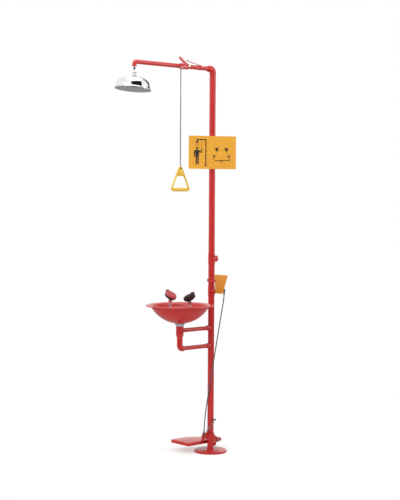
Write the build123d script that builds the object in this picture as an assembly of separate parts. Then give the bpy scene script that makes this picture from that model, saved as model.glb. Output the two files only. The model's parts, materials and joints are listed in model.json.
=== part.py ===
from build123d import *
import math
import os

# Combination emergency shower and eyewash, floor mounted. Millimetres.
# Origin: column axis at the floor. +Z up, shower arm and bowl towards -Y, push flag towards +X.

# column and floor flange
column_r = 19.0
column_wall = 2.5
flange_r = 97.5
flange_t = 12.0
floor_bolt_circle_r = 75.0
floor_bolt_hole_r = 6.0
floor_bolt_count = 4
outlet_z = 52.0
outlet_r = 19.5
outlet_reach = 31.0
outlet_thread_depth = 12.0
pipe_thread_r = 15.15
pipe_bore_r = 13.2
plug_z = 698.0
plug_t = 8.0

# support arms and the drop under the bowl
arm_r = 12.5
arm_wall = 2.0
socket_r = 15.5
socket_end = 33.0
bowl_y = -250.0
drain_z = 643.0
supply_z = 750.0
drop_r = 17.0
drop_wall = 2.5
drain_bend_r = 20.0
drop_top_z = 705.0
sleeve_r = 22.5
sleeve_wall = 3.0
sleeve_taper = 23.0
sleeve_top_z = 776.0

# bowl
rim_z = 903.0
rim_r = 200.0
rim_edge = 9.0
rim_edge_t = 2.5
basin_r = 173.0
basin_floor_r = 30.0
basin_depth = 102.0
rim_drop = 8.0
bowl_t = 2.0
bowl_hole_r = 20.0
gasket_t = 2.0
gasket_r = 28.0
waste_flange_r = 36.0

# eyewash manifold
riser_r = 9.0
riser_wall = 1.5
riser_bend_r = 17.6
manifold_z = 868.0
manifold_r = 10.0
nozzle_x = 86.0
head_z = 947.0
head_r = 35.5
head_t = 19.0
head_tilt = 36.0
cover_t = 5.0
cover_pin_r = 2.0
running_gap = 0.05
body_gap = 0.3

# eyewash valve and its push flag
eyewash_z = 972.0
eyewash_half = 28.0
eyewash_body_r = 20.5
eyewash_boss_r = 14.5
eyewash_boss_x = 37.0
eyewash_ball_r = 14.5
flag_x = 53.0
flag_bottom_w = 64.0
flag_top_x = 43.0
flag_top_w = 119.0
flag_bottom_z = 967.0
flag_top_z = 1073.0
flag_t = 2.5
flag_y = -14.0
flag_stem_r = 5.0
lug_x = 101.0
lug_arm = 14.5
lug_angle = 45.0
lug_t = 4.0
lug_end_r = 7.0
flag_stop_z = 1034.0

# water inlet and shower arm
inlet_z = 1164.0
inlet_half = 32.0
inlet_r = 20.5
inlet_branch_r = 18.5
inlet_reach = 38.0
inlet_thread_depth = 17.0
arm_z = 2293.0
elbow_r = 19.5
elbow_bend_r = 21.0
elbow_collar_y = -34.0
arm_collar_r = 16.0
arm_collar_len = 7.0
drop_y = -600.0
drop_elbow_r = 11.5
drop_bend_r = 14.0
nipple_top_z = 2267.0

# shower valve, lever and pull rod
valve_y = -230.0
valve_half = 25.0
valve_body_r = 16.5
valve_boss_r = 11.0
valve_boss_x = 26.0
valve_ball_r = 11.5
lever_stem_r = 4.5
lever_x = 34.0
lever_t = 4.0
lever_rise = 35.0
lever_len = 80.0
lever_root_half = 9.5
lever_tip_half = 6.5
lever_hub_r = 11.0
pull_arm_x = 40.0
pull_arm_t = 4.0
rest_clip_y = -102.0
rest_clip_half = 8.0
rest_wire_r = 2.2
rod_y = -289.0
rod_hang_z = 2281.0
rod_r = 3.5
handle_pivot_z = 1698.0
handle_half = 64.0
handle_grip_z = 1576.0
handle_grip_r = 11.5
handle_leg_r = 5.5
handle_apex_half = 5.0
handle_web_drop = 44.0
handle_web_t = 8.0
handle_eye_r = 5.2

# shower head on its ball joint
ball_z = 2233.0
ball_r = 9.0
ball_neck_r = 5.5
ball_neck_len = 9.0
nipple_r = 7.0
head_lean = 6.0
shower_r = 104.5
shower_wall = 1.5
head_profile = [
    (13.0, -9.0), (16.0, -11.0), (24.0, -16.5), (38.0, -23.0), (60.0, -31.0), (74.0, -36.5), (84.0, -43.0),
    (91.0, -51.0), (96.0, -61.0), (99.5, -72.0), (101.3, -83.0), (102.0, -88.0),
    (shower_r, -92.0), (shower_r, -97.0),
]

# sign
sign_w = 292.0
sign_h = 196.0
sign_t = 2.0
sign_z = 1798.0
sign_shift = -6.0
sign_turn = 63.0
sign_off = 26.0

# foot treadle, its hinge behind the column, spring and cable
treadle_top_z = 65.0
treadle_skirt = 20.0
treadle_t = 2.5
treadle_outline = [(-32, -150), (-32, 122), (-85, 122), (-190, -38), (-190, -150)]
hinge_y = 85.0
hinge_z = 54.0
hinge_pin_r = 6.0
treadle_rib_x = -98.0
clamp_screw_z = (82.0, 104.0)
clamp_r = 24.0
clamp_z = (73.0, 113.0)
bracket_y = -27.0
bracket_t = 3.0
bracket_x = (-46.0, 11.0)
bracket_top = 126.0
bracket_step_z = 115.0
spring_hole = (5.0, 120.0)
cable_hole = (-14.8, 105.0)
hinge_arm_x = -29.5
hinge_arm_t = 5.0
stud_x = 41.0
stud_z = 198.0
spring_x = 37.0
spring_r = 6.0
spring_wire_r = 0.9
cable_r = 3.25
cable_route = [
    (101.0, 10.0, 955.0), (98.6, 9.6, 920.0), (87.6, 4.6, 860.0), (5.3, -28.6, 330.0),
    (-4.6, -33.6, 262.0), (-11.6, -37.0, 196.0), (-14.8, -38.5, 132.0),
]
cable_end_z = 99.0
upper_ferrule_r = 5.0
lower_ferrule_r = 4.6

made = {}


def keep(name, shape):
    shape.label = name
    made[name] = shape


def rod(start, end, radius, inner=0.0):
    # Solid or hollow round bar between two points.
    axis = Vector(*end) - Vector(*start)
    seat = Plane(origin=start, z_dir=axis)
    bar = seat * Pos(0, 0, axis.length / 2) * Cylinder(radius, axis.length)
    if inner:
        bar -= seat * Pos(0, 0, axis.length / 2) * Cylinder(inner, axis.length + 1)
    return bar


def turned(points, axis=Axis.Z):
    # Closed outline of (radius, height) points, turned about Z.
    outline = Plane.XZ * make_face(Polyline(*points, close=True))
    return revolve(outline, axis)


def hexagon(across, height):
    return extrude(RegularPolygon(across / math.sqrt(3), 6), height)


def plate(points, thickness, plane, corner=0.0):
    # Flat plate from an outline on a plane, with rounded corners.
    face = make_face(Polyline(*points, close=True))
    if corner:
        face = fillet(face.vertices(), corner)
    return plane * extrude(face, thickness)


def ball_valve(body_r, half, boss_r, boss_x, ball_r, stem_r, stem_end):
    # Flow along Y, stem along +X; the ball is shut, its bore crossing the flow.
    flow_r = ball_r * 0.6
    cavity = ball_r + 0.4
    body = rod((0, -half, 0), (0, half, 0), body_r)
    body += rod((0, 0, 0), (boss_x, 0, 0), boss_r)
    body -= rod((0, -half - 1, 0), (0, half + 1, 0), flow_r)
    body -= rod((0, -ball_r, 0), (0, ball_r, 0), cavity)
    body -= rod((0, 0, 0), (boss_x + 1, 0, 0), stem_r + 1.5)
    seats = []
    for side in (-1, 1):
        ring = rod((0, side * ball_r * 0.72, 0), (0, side * ball_r, 0), cavity - 0.3, flow_r)
        seats.append(ring - Sphere(ball_r + running_gap))
    nut_t = 7.0
    bonnet = Plane(origin=(boss_x, 0, 0), z_dir=(1, 0, 0)) * hexagon(boss_r * 1.7, nut_t)
    bonnet += rod((boss_x - 9, 0, 0), (boss_x, 0, 0), stem_r + 1.4)
    bonnet -= rod((0, 0, 0), (boss_x + nut_t + 1, 0, 0), stem_r + running_gap)
    stem = Sphere(ball_r) + rod((0, 0, 0), (stem_end, 0, 0), stem_r)
    stem -= rod((0, 0, -ball_r), (0, 0, ball_r), flow_r)
    return body, Compound(seats), bonnet, stem


def base_and_column():
    flange = Pos(0, 0, flange_t / 2) * Cylinder(flange_r, flange_t)
    flange = chamfer(flange.edges().group_by(Axis.Z)[-1], 1.5)
    bolt_seats = PolarLocations(floor_bolt_circle_r, floor_bolt_count, start_angle=45)
    for seat in bolt_seats:
        flange -= seat * Cylinder(floor_bolt_hole_r, 3 * flange_t)
    keep("base_flange", flange)

    inner = column_r - column_wall
    valve_low = eyewash_z - eyewash_half
    valve_high = eyewash_z + eyewash_half
    lower = rod((0, 0, flange_t), (0, 0, valve_low), column_r, inner)
    lower -= rod((0, 0, outlet_z), (0, outlet_reach, outlet_z), pipe_bore_r)
    for z in (drain_z, supply_z):
        lower -= rod((0, -outlet_reach, z), (0, 0, z), arm_r - arm_wall)
    keep("lower_column", lower)
    keep("middle_column", rod((0, 0, valve_high), (0, 0, inlet_z - inlet_half), column_r, inner))
    elbow_low = arm_z - elbow_bend_r - 8
    keep("upper_column", rod((0, 0, inlet_z + inlet_half), (0, 0, elbow_low), column_r, inner))
    keep("column_plug", rod((0, 0, plug_z - plug_t), (0, 0, plug_z), inner))

    outlet = rod((0, 0, outlet_z), (0, outlet_reach, outlet_z), outlet_r)
    outlet -= rod((0, 0, outlet_z - 40), (0, 0, outlet_z + 40), column_r)
    outlet -= rod((0, -1, outlet_z), (0, outlet_reach, outlet_z), pipe_bore_r)
    thread_y = outlet_reach - outlet_thread_depth
    outlet -= rod((0, thread_y, outlet_z), (0, outlet_reach + 1, outlet_z), pipe_thread_r)
    keep("waste_outlet", outlet)

    tee = rod((0, 0, inlet_z - inlet_half), (0, 0, inlet_z + inlet_half), inlet_r)
    tee += rod((0, 0, inlet_z), (0, inlet_reach, inlet_z), inlet_branch_r)
    tee -= rod((0, 0, inlet_z - 40), (0, 0, inlet_z + 40), inner)
    tee -= rod((0, 0, inlet_z), (0, inlet_reach, inlet_z), pipe_bore_r)
    thread_y = inlet_reach - inlet_thread_depth
    tee -= rod((0, thread_y, inlet_z), (0, inlet_reach + 1, inlet_z), pipe_thread_r)
    keep("inlet_tee", tee)


def support_arms():
    bend_start = bowl_y + drain_bend_r
    drain = rod((0, bend_start + 7, drain_z), (0, 0, drain_z), arm_r)
    drain += rod((0, -socket_end, drain_z), (0, 0, drain_z), socket_r)
    supply = rod((0, bowl_y + sleeve_r - 2, supply_z), (0, 0, supply_z), arm_r)
    supply += rod((0, -socket_end, supply_z), (0, 0, supply_z), socket_r)
    column_space = rod((0, 0, drain_z - 40), (0, 0, supply_z + 40), column_r)
    sleeve_space = rod((0, bowl_y, drop_top_z), (0, bowl_y, sleeve_top_z), sleeve_r)
    bore_r = arm_r - arm_wall
    drain -= rod((0, bend_start - 1, drain_z), (0, 1, drain_z), bore_r)
    supply -= rod((0, bowl_y, supply_z), (0, 1, supply_z), bore_r)
    keep("drain_arm", drain - column_space)
    keep("supply_arm", supply - column_space - sleeve_space)

    elbow_top = drain_z + drain_bend_r + 9
    elbow_path = FilletPolyline(
        (0, bowl_y, elbow_top), (0, bowl_y, drain_z), (0, bend_start + 7, drain_z), radius=drain_bend_r
    )
    mouth = Plane(origin=(0, bowl_y, elbow_top), z_dir=(0, 0, -1))
    elbow = sweep(mouth * Circle(drop_r), elbow_path)
    elbow -= sweep(mouth * Circle(drop_r - drop_wall - 2), elbow_path)
    keep("drain_elbow", elbow)

    taper_top = drop_top_z + sleeve_taper
    inner = sleeve_r - sleeve_wall
    sleeve = turned([
        (drop_r - drop_wall, elbow_top), (drop_r, elbow_top), (drop_r, drop_top_z), (sleeve_r, taper_top),
        (sleeve_r, sleeve_top_z), (inner, sleeve_top_z), (inner, taper_top), (drop_r - drop_wall, drop_top_z),
    ])
    sleeve = Pos(0, bowl_y, 0) * sleeve
    sleeve -= rod((0, bowl_y, supply_z), (0, 0, supply_z), riser_r + 0.2)
    keep("manifold_sleeve", sleeve)


def bowl_group():
    # Sheet bowl: a dished floor of one radius, a sloping lip and a turned-down edge.
    steps = 14
    shoulder_z = rim_z - rim_drop
    low_z = shoulder_z - basin_depth
    rise = (basin_r ** 2 - basin_floor_r ** 2 - basin_depth ** 2) / (2 * basin_depth)
    dish_r = math.hypot(basin_r, rise)
    centre_z = shoulder_z + rise
    first = math.atan2(rise, basin_r)
    last = math.acos(basin_floor_r / dish_r)
    under, inside = [], []
    for i in range(steps + 1):
        angle = first + (last - first) * i / steps
        across, down = math.cos(angle), math.sin(angle)
        under.append((dish_r * across, centre_z - dish_r * down))
        inside.append(((dish_r - bowl_t) * across, centre_z - (dish_r - bowl_t) * down))
    under.append((bowl_hole_r, low_z))
    inside.append((bowl_hole_r, inside[-1][1]))
    edge_r = rim_r - rim_edge_t
    edge_z = rim_z - rim_edge
    shell = [(rim_r, rim_z), (rim_r, edge_z), (edge_r, edge_z), (edge_r, rim_z - rim_edge_t)]
    shell += under + inside[::-1]
    bowl = Pos(0, bowl_y, 0) * turned(shell)
    keep("bowl", bowl)
    return bowl, low_z


def bowl_fittings(bowl, low_z):
    top = low_z + bowl_t
    tail_r = bowl_hole_r - 0.2
    waste = rod((0, bowl_y, top), (0, bowl_y, top + 3), waste_flange_r)
    waste += rod((0, bowl_y, sleeve_top_z - 14), (0, bowl_y, top), tail_r - 1.0)
    waste -= rod((0, bowl_y, sleeve_top_z - 20), (0, bowl_y, top + 1), tail_r - 3.5)
    waste -= rod((0, bowl_y, top), (0, bowl_y, top + 4), riser_r + 0.5)
    for ring_r, count in ((14.0, 8), (24.0, 14)):
        for hole in PolarLocations(ring_r, count):
            waste -= Pos(0, bowl_y, top) * hole * Cylinder(2.4 if ring_r < 20 else 0.6, 8)
    keep("waste_strainer", waste - bowl)
    keep("bowl_gasket", rod((0, bowl_y, low_z - gasket_t), (0, bowl_y, low_z), gasket_r, bowl_hole_r))
    nut = turned([
        (tail_r, sleeve_top_z), (23.5, sleeve_top_z), (25.0, sleeve_top_z + 4),
        (29.0, low_z - gasket_t), (tail_r, low_z - gasket_t),
    ])
    keep("lock_nut", Pos(0, bowl_y, 0) * nut)


def eyewash_group():
    start = (0, bowl_y + sleeve_r - 2, supply_z)
    path = FilletPolyline(start, (0, bowl_y, supply_z), (0, bowl_y, manifold_z - 12), radius=riser_bend_r)
    mouth = Plane(origin=start, z_dir=(0, -1, 0))
    riser = sweep(mouth * Circle(riser_r), path) - sweep(mouth * Circle(riser_r - riser_wall), path)
    keep("riser_tube", riser)

    manifold = rod((-nozzle_x, bowl_y, manifold_z), (nozzle_x, bowl_y, manifold_z), manifold_r)
    manifold += rod((0, bowl_y, manifold_z - 12), (0, bowl_y, manifold_z + 14), 15.0)
    for side in (-1, 1):
        x = side * nozzle_x
        manifold += rod((x, bowl_y, manifold_z), (x, bowl_y, manifold_z + 14), manifold_r)
        manifold += Pos(x, bowl_y, manifold_z) * Sphere(manifold_r)
    manifold -= rod((-nozzle_x, bowl_y, manifold_z), (nozzle_x, bowl_y, manifold_z), manifold_r - 2.5)
    manifold -= rod((0, bowl_y, manifold_z - 13), (0, bowl_y, manifold_z), riser_r - riser_wall)
    for side in (-1, 1):
        x = side * nozzle_x
        manifold -= rod((x, bowl_y, manifold_z), (x, bowl_y, manifold_z + 15), 4.0)
    keep("eyewash_manifold", manifold)

    stems, heads, discs, pins = [], [], [], []
    for side, hand in ((-1, "left"), (1, "right")):
        base = Pos(side * nozzle_x, bowl_y, 0)
        stem = turned([
            (4.0, manifold_z + 14), (manifold_r, manifold_z + 14), (7.0, manifold_z + 24),
            (7.0, head_z - 38), (15.0, head_z - 26), (15.0, head_z - 20), (4.0, head_z - 20),
        ])
        stems.append(base * stem)
        # head frame: origin at the head centre, local +Z out of the spray face, hinge at local -X
        seat = Location((side * nozzle_x, bowl_y, head_z), (0, -side * head_tilt, 0))
        if side > 0:
            seat = seat * Location((0, 0, 0), (0, 0, 180))
        cup = turned([
            (0, -head_t / 2), (head_r - 12, -head_t / 2), (head_r, -head_t / 2 + 8), (head_r, head_t / 2),
            (head_r - 3, head_t / 2), (head_r - 3, -head_t / 2 + 10), (0, -head_t / 2 + 5),
        ])
        ears = Pos(-head_r - 3, 0, head_t / 2 + 1) * Box(12, 22, 9)
        ears -= Pos(-head_r - 5, 0, head_t / 2 + 2.6) * Box(22, 12.6, 12)
        ears -= Pos(-head_r - 5, 0, head_t / 2 + 2.5) * Rot(90, 0, 0) * Cylinder(cover_pin_r, 40)
        ears -= Pos(0, 0, head_t / 2 + 10) * Cylinder(head_r + 0.6, 20)
        cup += ears - Cylinder(head_r - 1, 40)
        cup = seat * cup
        collar = rod((side * nozzle_x, bowl_y, head_z - 20), (side * nozzle_x, bowl_y, head_z - 4), 8.0)
        cup += collar - seat * Pos(0, 0, 20 - head_t / 2 + 5) * Cylinder(head_r + 5, 40)
        heads.append(cup - stems[-1])
        disc = Pos(0, 0, head_t / 2 - 4) * Cylinder(head_r - 3.2, 2.5)
        for ring_r, count in ((8, 6), (16, 12), (24, 18)):
            for hole in PolarLocations(ring_r, count):
                disc -= Pos(0, 0, head_t / 2 - 4) * hole * Cylinder(1.2, 6)
        discs.append(seat * disc)
        pin_at = Pos(-head_r - 5, 0, head_t / 2 + 2.5)
        pins.append(seat * pin_at * Rot(90, 0, 0) * Cylinder(cover_pin_r, 22))
        lid = Pos(0, 0, head_t / 2 + body_gap + cover_t / 2) * Cylinder(head_r, cover_t)
        lid = fillet(lid.edges().group_by(Axis.Z)[-1], 3.0)
        tail = Pos(-head_r - 2, 0, head_t / 2 + body_gap + cover_t / 2) * Box(12, 12, cover_t)
        knuckle = pin_at * Rot(90, 0, 0) * Cylinder(cover_pin_r + 2.2, 12)
        for edge in (-1, 1):
            lid -= Pos(-head_r, edge * 8.8, head_t / 2) * Box(7, 5.6, 20)
        lid += tail + knuckle
        lid -= pin_at * Rot(90, 0, 0) * Cylinder(cover_pin_r + running_gap, 30)
        keep("dust_cover_" + hand, seat * lid)
    keep("nozzle_stems", Compound(stems))
    keep("nozzle_heads", Compound(heads))
    keep("spray_discs", Compound(discs))
    keep("cover_pins", Compound(pins))


def eyewash_valve():
    stem_end = flag_x + 14.0
    body, seats, bonnet, stem = ball_valve(
        eyewash_body_r, eyewash_half, eyewash_boss_r, eyewash_boss_x,
        eyewash_ball_r, flag_stem_r, stem_end,
    )
    stand = Location((0, 0, eyewash_z), (90, 0, 0))
    keep("eyewash_valve_body", stand * body)
    eyewash_seats = [stand * seat for seat in seats.solids()]
    keep("eyewash_valve_bonnet", stand * bonnet)
    keep("flag_stem", stand * stem)

    face = Plane(origin=(0, flag_y, 0), x_dir=(1, 0, 0), z_dir=(0, -1, 0))
    outline = [
        (flag_x, flag_bottom_z), (flag_x + flag_bottom_w, flag_bottom_z),
        (flag_top_x + flag_top_w, flag_top_z), (flag_top_x, flag_top_z),
    ]
    flag = plate(outline, flag_t, face, 6.0)
    tab_x = flag_x + 2.0
    tab = Pos(tab_x + 2, (flag_y + 9) / 2, eyewash_z) * Box(4, 9 - flag_y, 22)
    tab -= rod((tab_x - 1, 0, eyewash_z), (tab_x + 9, 0, eyewash_z), flag_stem_r)
    flag += tab
    lug_y = lug_arm * math.cos(math.radians(lug_angle))
    lug_z = eyewash_z + lug_arm * math.sin(math.radians(lug_angle))
    lug = Pos(lug_x, (flag_y + lug_y) / 2, lug_z) * Box(lug_t, lug_y - flag_y, 2 * lug_end_r)
    lug += rod((lug_x - lug_t / 2, lug_y, lug_z), (lug_x + lug_t / 2, lug_y, lug_z), lug_end_r)
    lug -= rod((lug_x - 9, lug_y, lug_z), (lug_x + 9, lug_y, lug_z), 2.5 + running_gap)
    flag += lug
    keep("push_flag", flag)
    nut = Plane(origin=(tab_x + 4, 0, eyewash_z), z_dir=(1, 0, 0)) * hexagon(15, 7)
    keep("flag_nut", nut - rod((0, 0, eyewash_z), (99, 0, eyewash_z), flag_stem_r))
    return eyewash_seats, (lug_y, lug_z)


def flag_stop():
    half = 9.0
    low = (0, 0, flag_stop_z - half)
    high = (0, 0, flag_stop_z + half)
    band = rod(low, high, column_r + 2, column_r)
    ear = Pos(-column_r - 8, 0, flag_stop_z) * Box(16, 3, 2 * half)
    band += ear - rod(low, high, column_r + 1)
    finger_y = flag_y - flag_t - 2.0
    band += Pos(32, finger_y, flag_stop_z) * Box(42, 2.6, 10) - rod(low, high, column_r + 1)
    band -= rod((-column_r - 9, -9, flag_stop_z), (-column_r - 9, 9, flag_stop_z), 3.2)
    keep("flag_stop_band", band)


def shower_arm(eyewash_seats):
    low = (0, 0, arm_z - elbow_bend_r - 8)
    path = FilletPolyline(low, (0, 0, arm_z), (0, elbow_collar_y, arm_z), radius=elbow_bend_r)
    mouth = Plane(origin=low, z_dir=(0, 0, 1))
    elbow = sweep(mouth * Circle(elbow_r), path) - sweep(mouth * Circle(column_r - column_wall), path)
    keep("top_elbow", elbow)

    wall = arm_r - arm_wall
    rear_end = valve_y + valve_half
    rear = rod((0, elbow_collar_y, arm_z), (0, rear_end, arm_z), arm_r, wall)
    collar_end = elbow_collar_y - arm_collar_len
    rear += rod((0, collar_end, arm_z), (0, elbow_collar_y, arm_z), arm_collar_r, wall)
    keep("shower_arm_rear", rear)
    front_start = valve_y - valve_half
    corner_y = drop_y + drop_bend_r
    keep("shower_arm_front", rod((0, front_start, arm_z), (0, corner_y, arm_z), arm_r, wall))

    body, seats, bonnet, stem = ball_valve(
        valve_body_r, valve_half, valve_boss_r, valve_boss_x,
        valve_ball_r, lever_stem_r, pull_arm_x + 10.0,
    )
    seat = Pos(0, valve_y, arm_z)
    keep("shower_valve_body", seat * body)
    keep("valve_seats", Compound(eyewash_seats + [seat * ring for ring in seats.solids()]))
    keep("shower_valve_bonnet", seat * bonnet)
    keep("lever_stem", seat * stem)

    end = (0, drop_y, nipple_top_z)
    start = (0, corner_y, arm_z)
    path = FilletPolyline(start, (0, drop_y, arm_z), end, radius=drop_bend_r - 0.5)
    mouth = Plane(origin=start, z_dir=(0, -1, 0))
    elbow = sweep(mouth * Circle(drop_elbow_r + 1), path) - sweep(mouth * Circle(8.5), path)
    keep("drop_elbow", elbow)


def shower_lever():
    flat = Plane(origin=(lever_x, valve_y, arm_z), x_dir=(0, -1, 0), z_dir=(-1, 0, 0))
    up = math.radians(lever_rise)
    tip = (lever_len * math.cos(up), lever_len * math.sin(up))
    side = (-math.sin(up), math.cos(up))
    outline = []
    for (y, z), half in (((0, 0), -lever_root_half), ((0, 0), lever_root_half), (tip, lever_tip_half),
                         (tip, -lever_tip_half)):
        outline.append((y + side[0] * half, z + side[1] * half))
    handle = plate(outline, lever_t, flat, 3.0)
    handle += flat * Pos(0, 0, lever_t / 2) * Cylinder(lever_hub_r, lever_t)
    handle = Pos(lever_t, 0, 0) * handle
    hole = rod((0, valve_y, arm_z), (99, valve_y, arm_z), lever_stem_r)
    keep("shower_lever", handle - hole)

    arm = rod((pull_arm_x, valve_y, arm_z), (pull_arm_x + pull_arm_t, valve_y, arm_z), 10)
    arm += rod((pull_arm_x, rod_y, rod_hang_z), (pull_arm_x + pull_arm_t, rod_y, rod_hang_z), 8)
    reach = Vector(0, rod_y - valve_y, rod_hang_z - arm_z)
    across = Vector(1, 0, 0).cross(reach.normalized())
    corners = []
    for start, half in ((Vector(0, valve_y, arm_z), 8.5), (Vector(0, rod_y, rod_hang_z), 7.0)):
        corners.append(start + across * half)
        corners.append(start - across * half)
    corners = [corners[0], corners[1], corners[3], corners[2]]
    web_plane = Plane(origin=(pull_arm_x, 0, 0), x_dir=(0, 1, 0), z_dir=(1, 0, 0))
    arm += plate([(c.Y, c.Z) for c in corners], pull_arm_t, web_plane)
    arm -= hole
    eye_r = 4.6
    arm -= rod((0, rod_y, rod_hang_z), (99, rod_y, rod_hang_z), eye_r)
    keep("pull_arm", arm)
    nut_x = pull_arm_x + pull_arm_t
    nut = Plane(origin=(nut_x, valve_y, arm_z), z_dir=(1, 0, 0)) * hexagon(13, 6)
    keep("lever_nut", nut - hole)

    # wire rest above the lever, welded to a clip on the arm
    clip_ends = [(0, rest_clip_y + side * rest_clip_half, arm_z) for side in (-1, 1)]
    clip = rod(*clip_ends, arm_r + 1.5, arm_r)
    top = arm_z + arm_r + rest_wire_r
    path = FilletPolyline(
        (0, rest_clip_y + 6, top), (4, rest_clip_y - 16, top + 1), (34, valve_y - 8, arm_z + 30),
        (50, valve_y - 16, arm_z + 32), radius=6,
    )
    wire = sweep(Plane(origin=path @ 0, z_dir=path % 0) * Circle(rest_wire_r), path)
    keep("lever_rest", clip + wire)


def pull_rod():
    rod_x = pull_arm_x + pull_arm_t / 2
    loop_r = 7.0
    wire = 2.2
    loop_gap = loop_r - 1.0
    top = rod_hang_z - loop_gap
    bottom = handle_pivot_z + loop_gap
    loop = Rot(90, 0, 0) * Torus(loop_r, wire)
    bar = rod((rod_x, rod_y, bottom + loop_r), (rod_x, rod_y, top - loop_r), rod_r)
    bar += Pos(rod_x, rod_y, top) * loop
    bar += Pos(rod_x, rod_y, bottom) * loop
    keep("pull_rod", bar)

    leg_top = handle_pivot_z
    corner = handle_half
    grip = rod((rod_x, rod_y - corner, handle_grip_z), (rod_x, rod_y + corner, handle_grip_z), handle_grip_r)
    handle = grip
    for side in (-1, 1):
        low = (rod_x, rod_y + side * corner, handle_grip_z)
        high = (rod_x, rod_y + side * handle_apex_half, leg_top)
        handle += rod(low, high, handle_leg_r)
        handle += Pos(*low) * Sphere(handle_grip_r)
        handle += Pos(*high) * Sphere(handle_leg_r)
    web_plane = Plane(origin=(rod_x - handle_web_t / 2, rod_y, 0), x_dir=(0, 1, 0), z_dir=(1, 0, 0))
    web_low = handle_pivot_z - handle_web_drop
    spread = (corner - handle_apex_half) / (handle_pivot_z - handle_grip_z)
    half_low = handle_apex_half + spread * handle_web_drop
    web = [(-half_low, web_low), (half_low, web_low), (7, leg_top + 5), (-7, leg_top + 5)]
    handle += plate(web, handle_web_t, web_plane)
    handle -= rod((0, rod_y, handle_pivot_z), (99, rod_y, handle_pivot_z), handle_eye_r)
    keep("pull_handle", handle)


def shower_head():
    neck_top = ball_z + ball_neck_len
    nipple = rod((0, drop_y, neck_top), (0, drop_y, nipple_top_z), nipple_r)
    nipple += rod((0, drop_y, ball_z), (0, drop_y, neck_top), ball_neck_r)
    nipple += Pos(0, drop_y, ball_z) * Sphere(ball_r)
    nipple += Pos(0, drop_y, nipple_top_z - 14) * hexagon(19, 8)
    nipple -= rod((0, drop_y, ball_z - 12), (0, drop_y, nipple_top_z + 1), 4.0)
    keep("ball_nipple", nipple)

    # head frame: origin at the ball, axis down -Z
    lean = Location((0, drop_y, ball_z), (-head_lean, 0, 0))
    cup_r = ball_r + running_gap
    nut = turned([(0, -9), (13.0, -9), (13.0, 3), (11.0, 6.5), (0, 6.5)])
    nut -= Sphere(cup_r)
    nut -= Pos(0, 0, 6.5) * Cone(6.6, 12, 8)
    nut -= rod((0, 0, -10), (0, 0, 0), 4.0)
    keep("swivel_nut", lean * nut)

    rim = head_profile[-1][1]
    inner = [(shower_r - shower_wall, rim)]
    for r, z in head_profile[::-1][1:-1]:
        inner.append((r - shower_wall, z - shower_wall))
    inner.append((4.0, -9.0 - shower_wall - 2))
    shell = turned(head_profile + inner + [(4.0, -9.0)])
    keep("head_shell", lean * shell)
    face_r = shower_r - shower_wall - 0.1
    face = Pos(0, 0, rim + 1.5) * Cylinder(face_r, 3)
    for ring_r, count in ((12, 6), (28, 12), (44, 20), (60, 26), (76, 34), (91, 40)):
        for hole in PolarLocations(ring_r, count):
            face -= Pos(0, 0, rim + 1.5) * hole * Cylinder(1.0, 5)
    keep("spray_face", lean * face)


def sign():
    seat = Location((0, 0, sign_z), (0, 0, sign_turn))
    board = Pos(sign_shift, -sign_off, 0) * Box(sign_w, sign_t, sign_h)
    holes = (-sign_h / 4, sign_h / 4)
    for z in holes:
        board -= rod((0, -sign_off - 5, z), (0, -sign_off + 5, z), 3.2)
    keep("sign_plate", seat * board)
    bands, screws = [], []
    for z in holes:
        band = rod((0, 0, z - 9), (0, 0, z + 9), column_r + 2, column_r)
        tab = Pos(0, -column_r - 3.5, z) * Box(14, 5, 18)
        tab -= rod((0, 0, z - 20), (0, 0, z + 20), column_r + 1)
        band += tab
        band -= rod((0, -sign_off - 5, z), (0, -column_r - 1.8, z), 3.0)
        bands.append(seat * band)
        front = -sign_off - sign_t / 2
        screw = rod((0, front, z), (0, -column_r - 2.2, z), 3.0)
        screw += rod((0, front - 3, z), (0, front, z), 6.0)
        screws.append(seat * screw)
    keep("sign_bands", Compound(bands))
    keep("sign_screws", Compound(screws))


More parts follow.
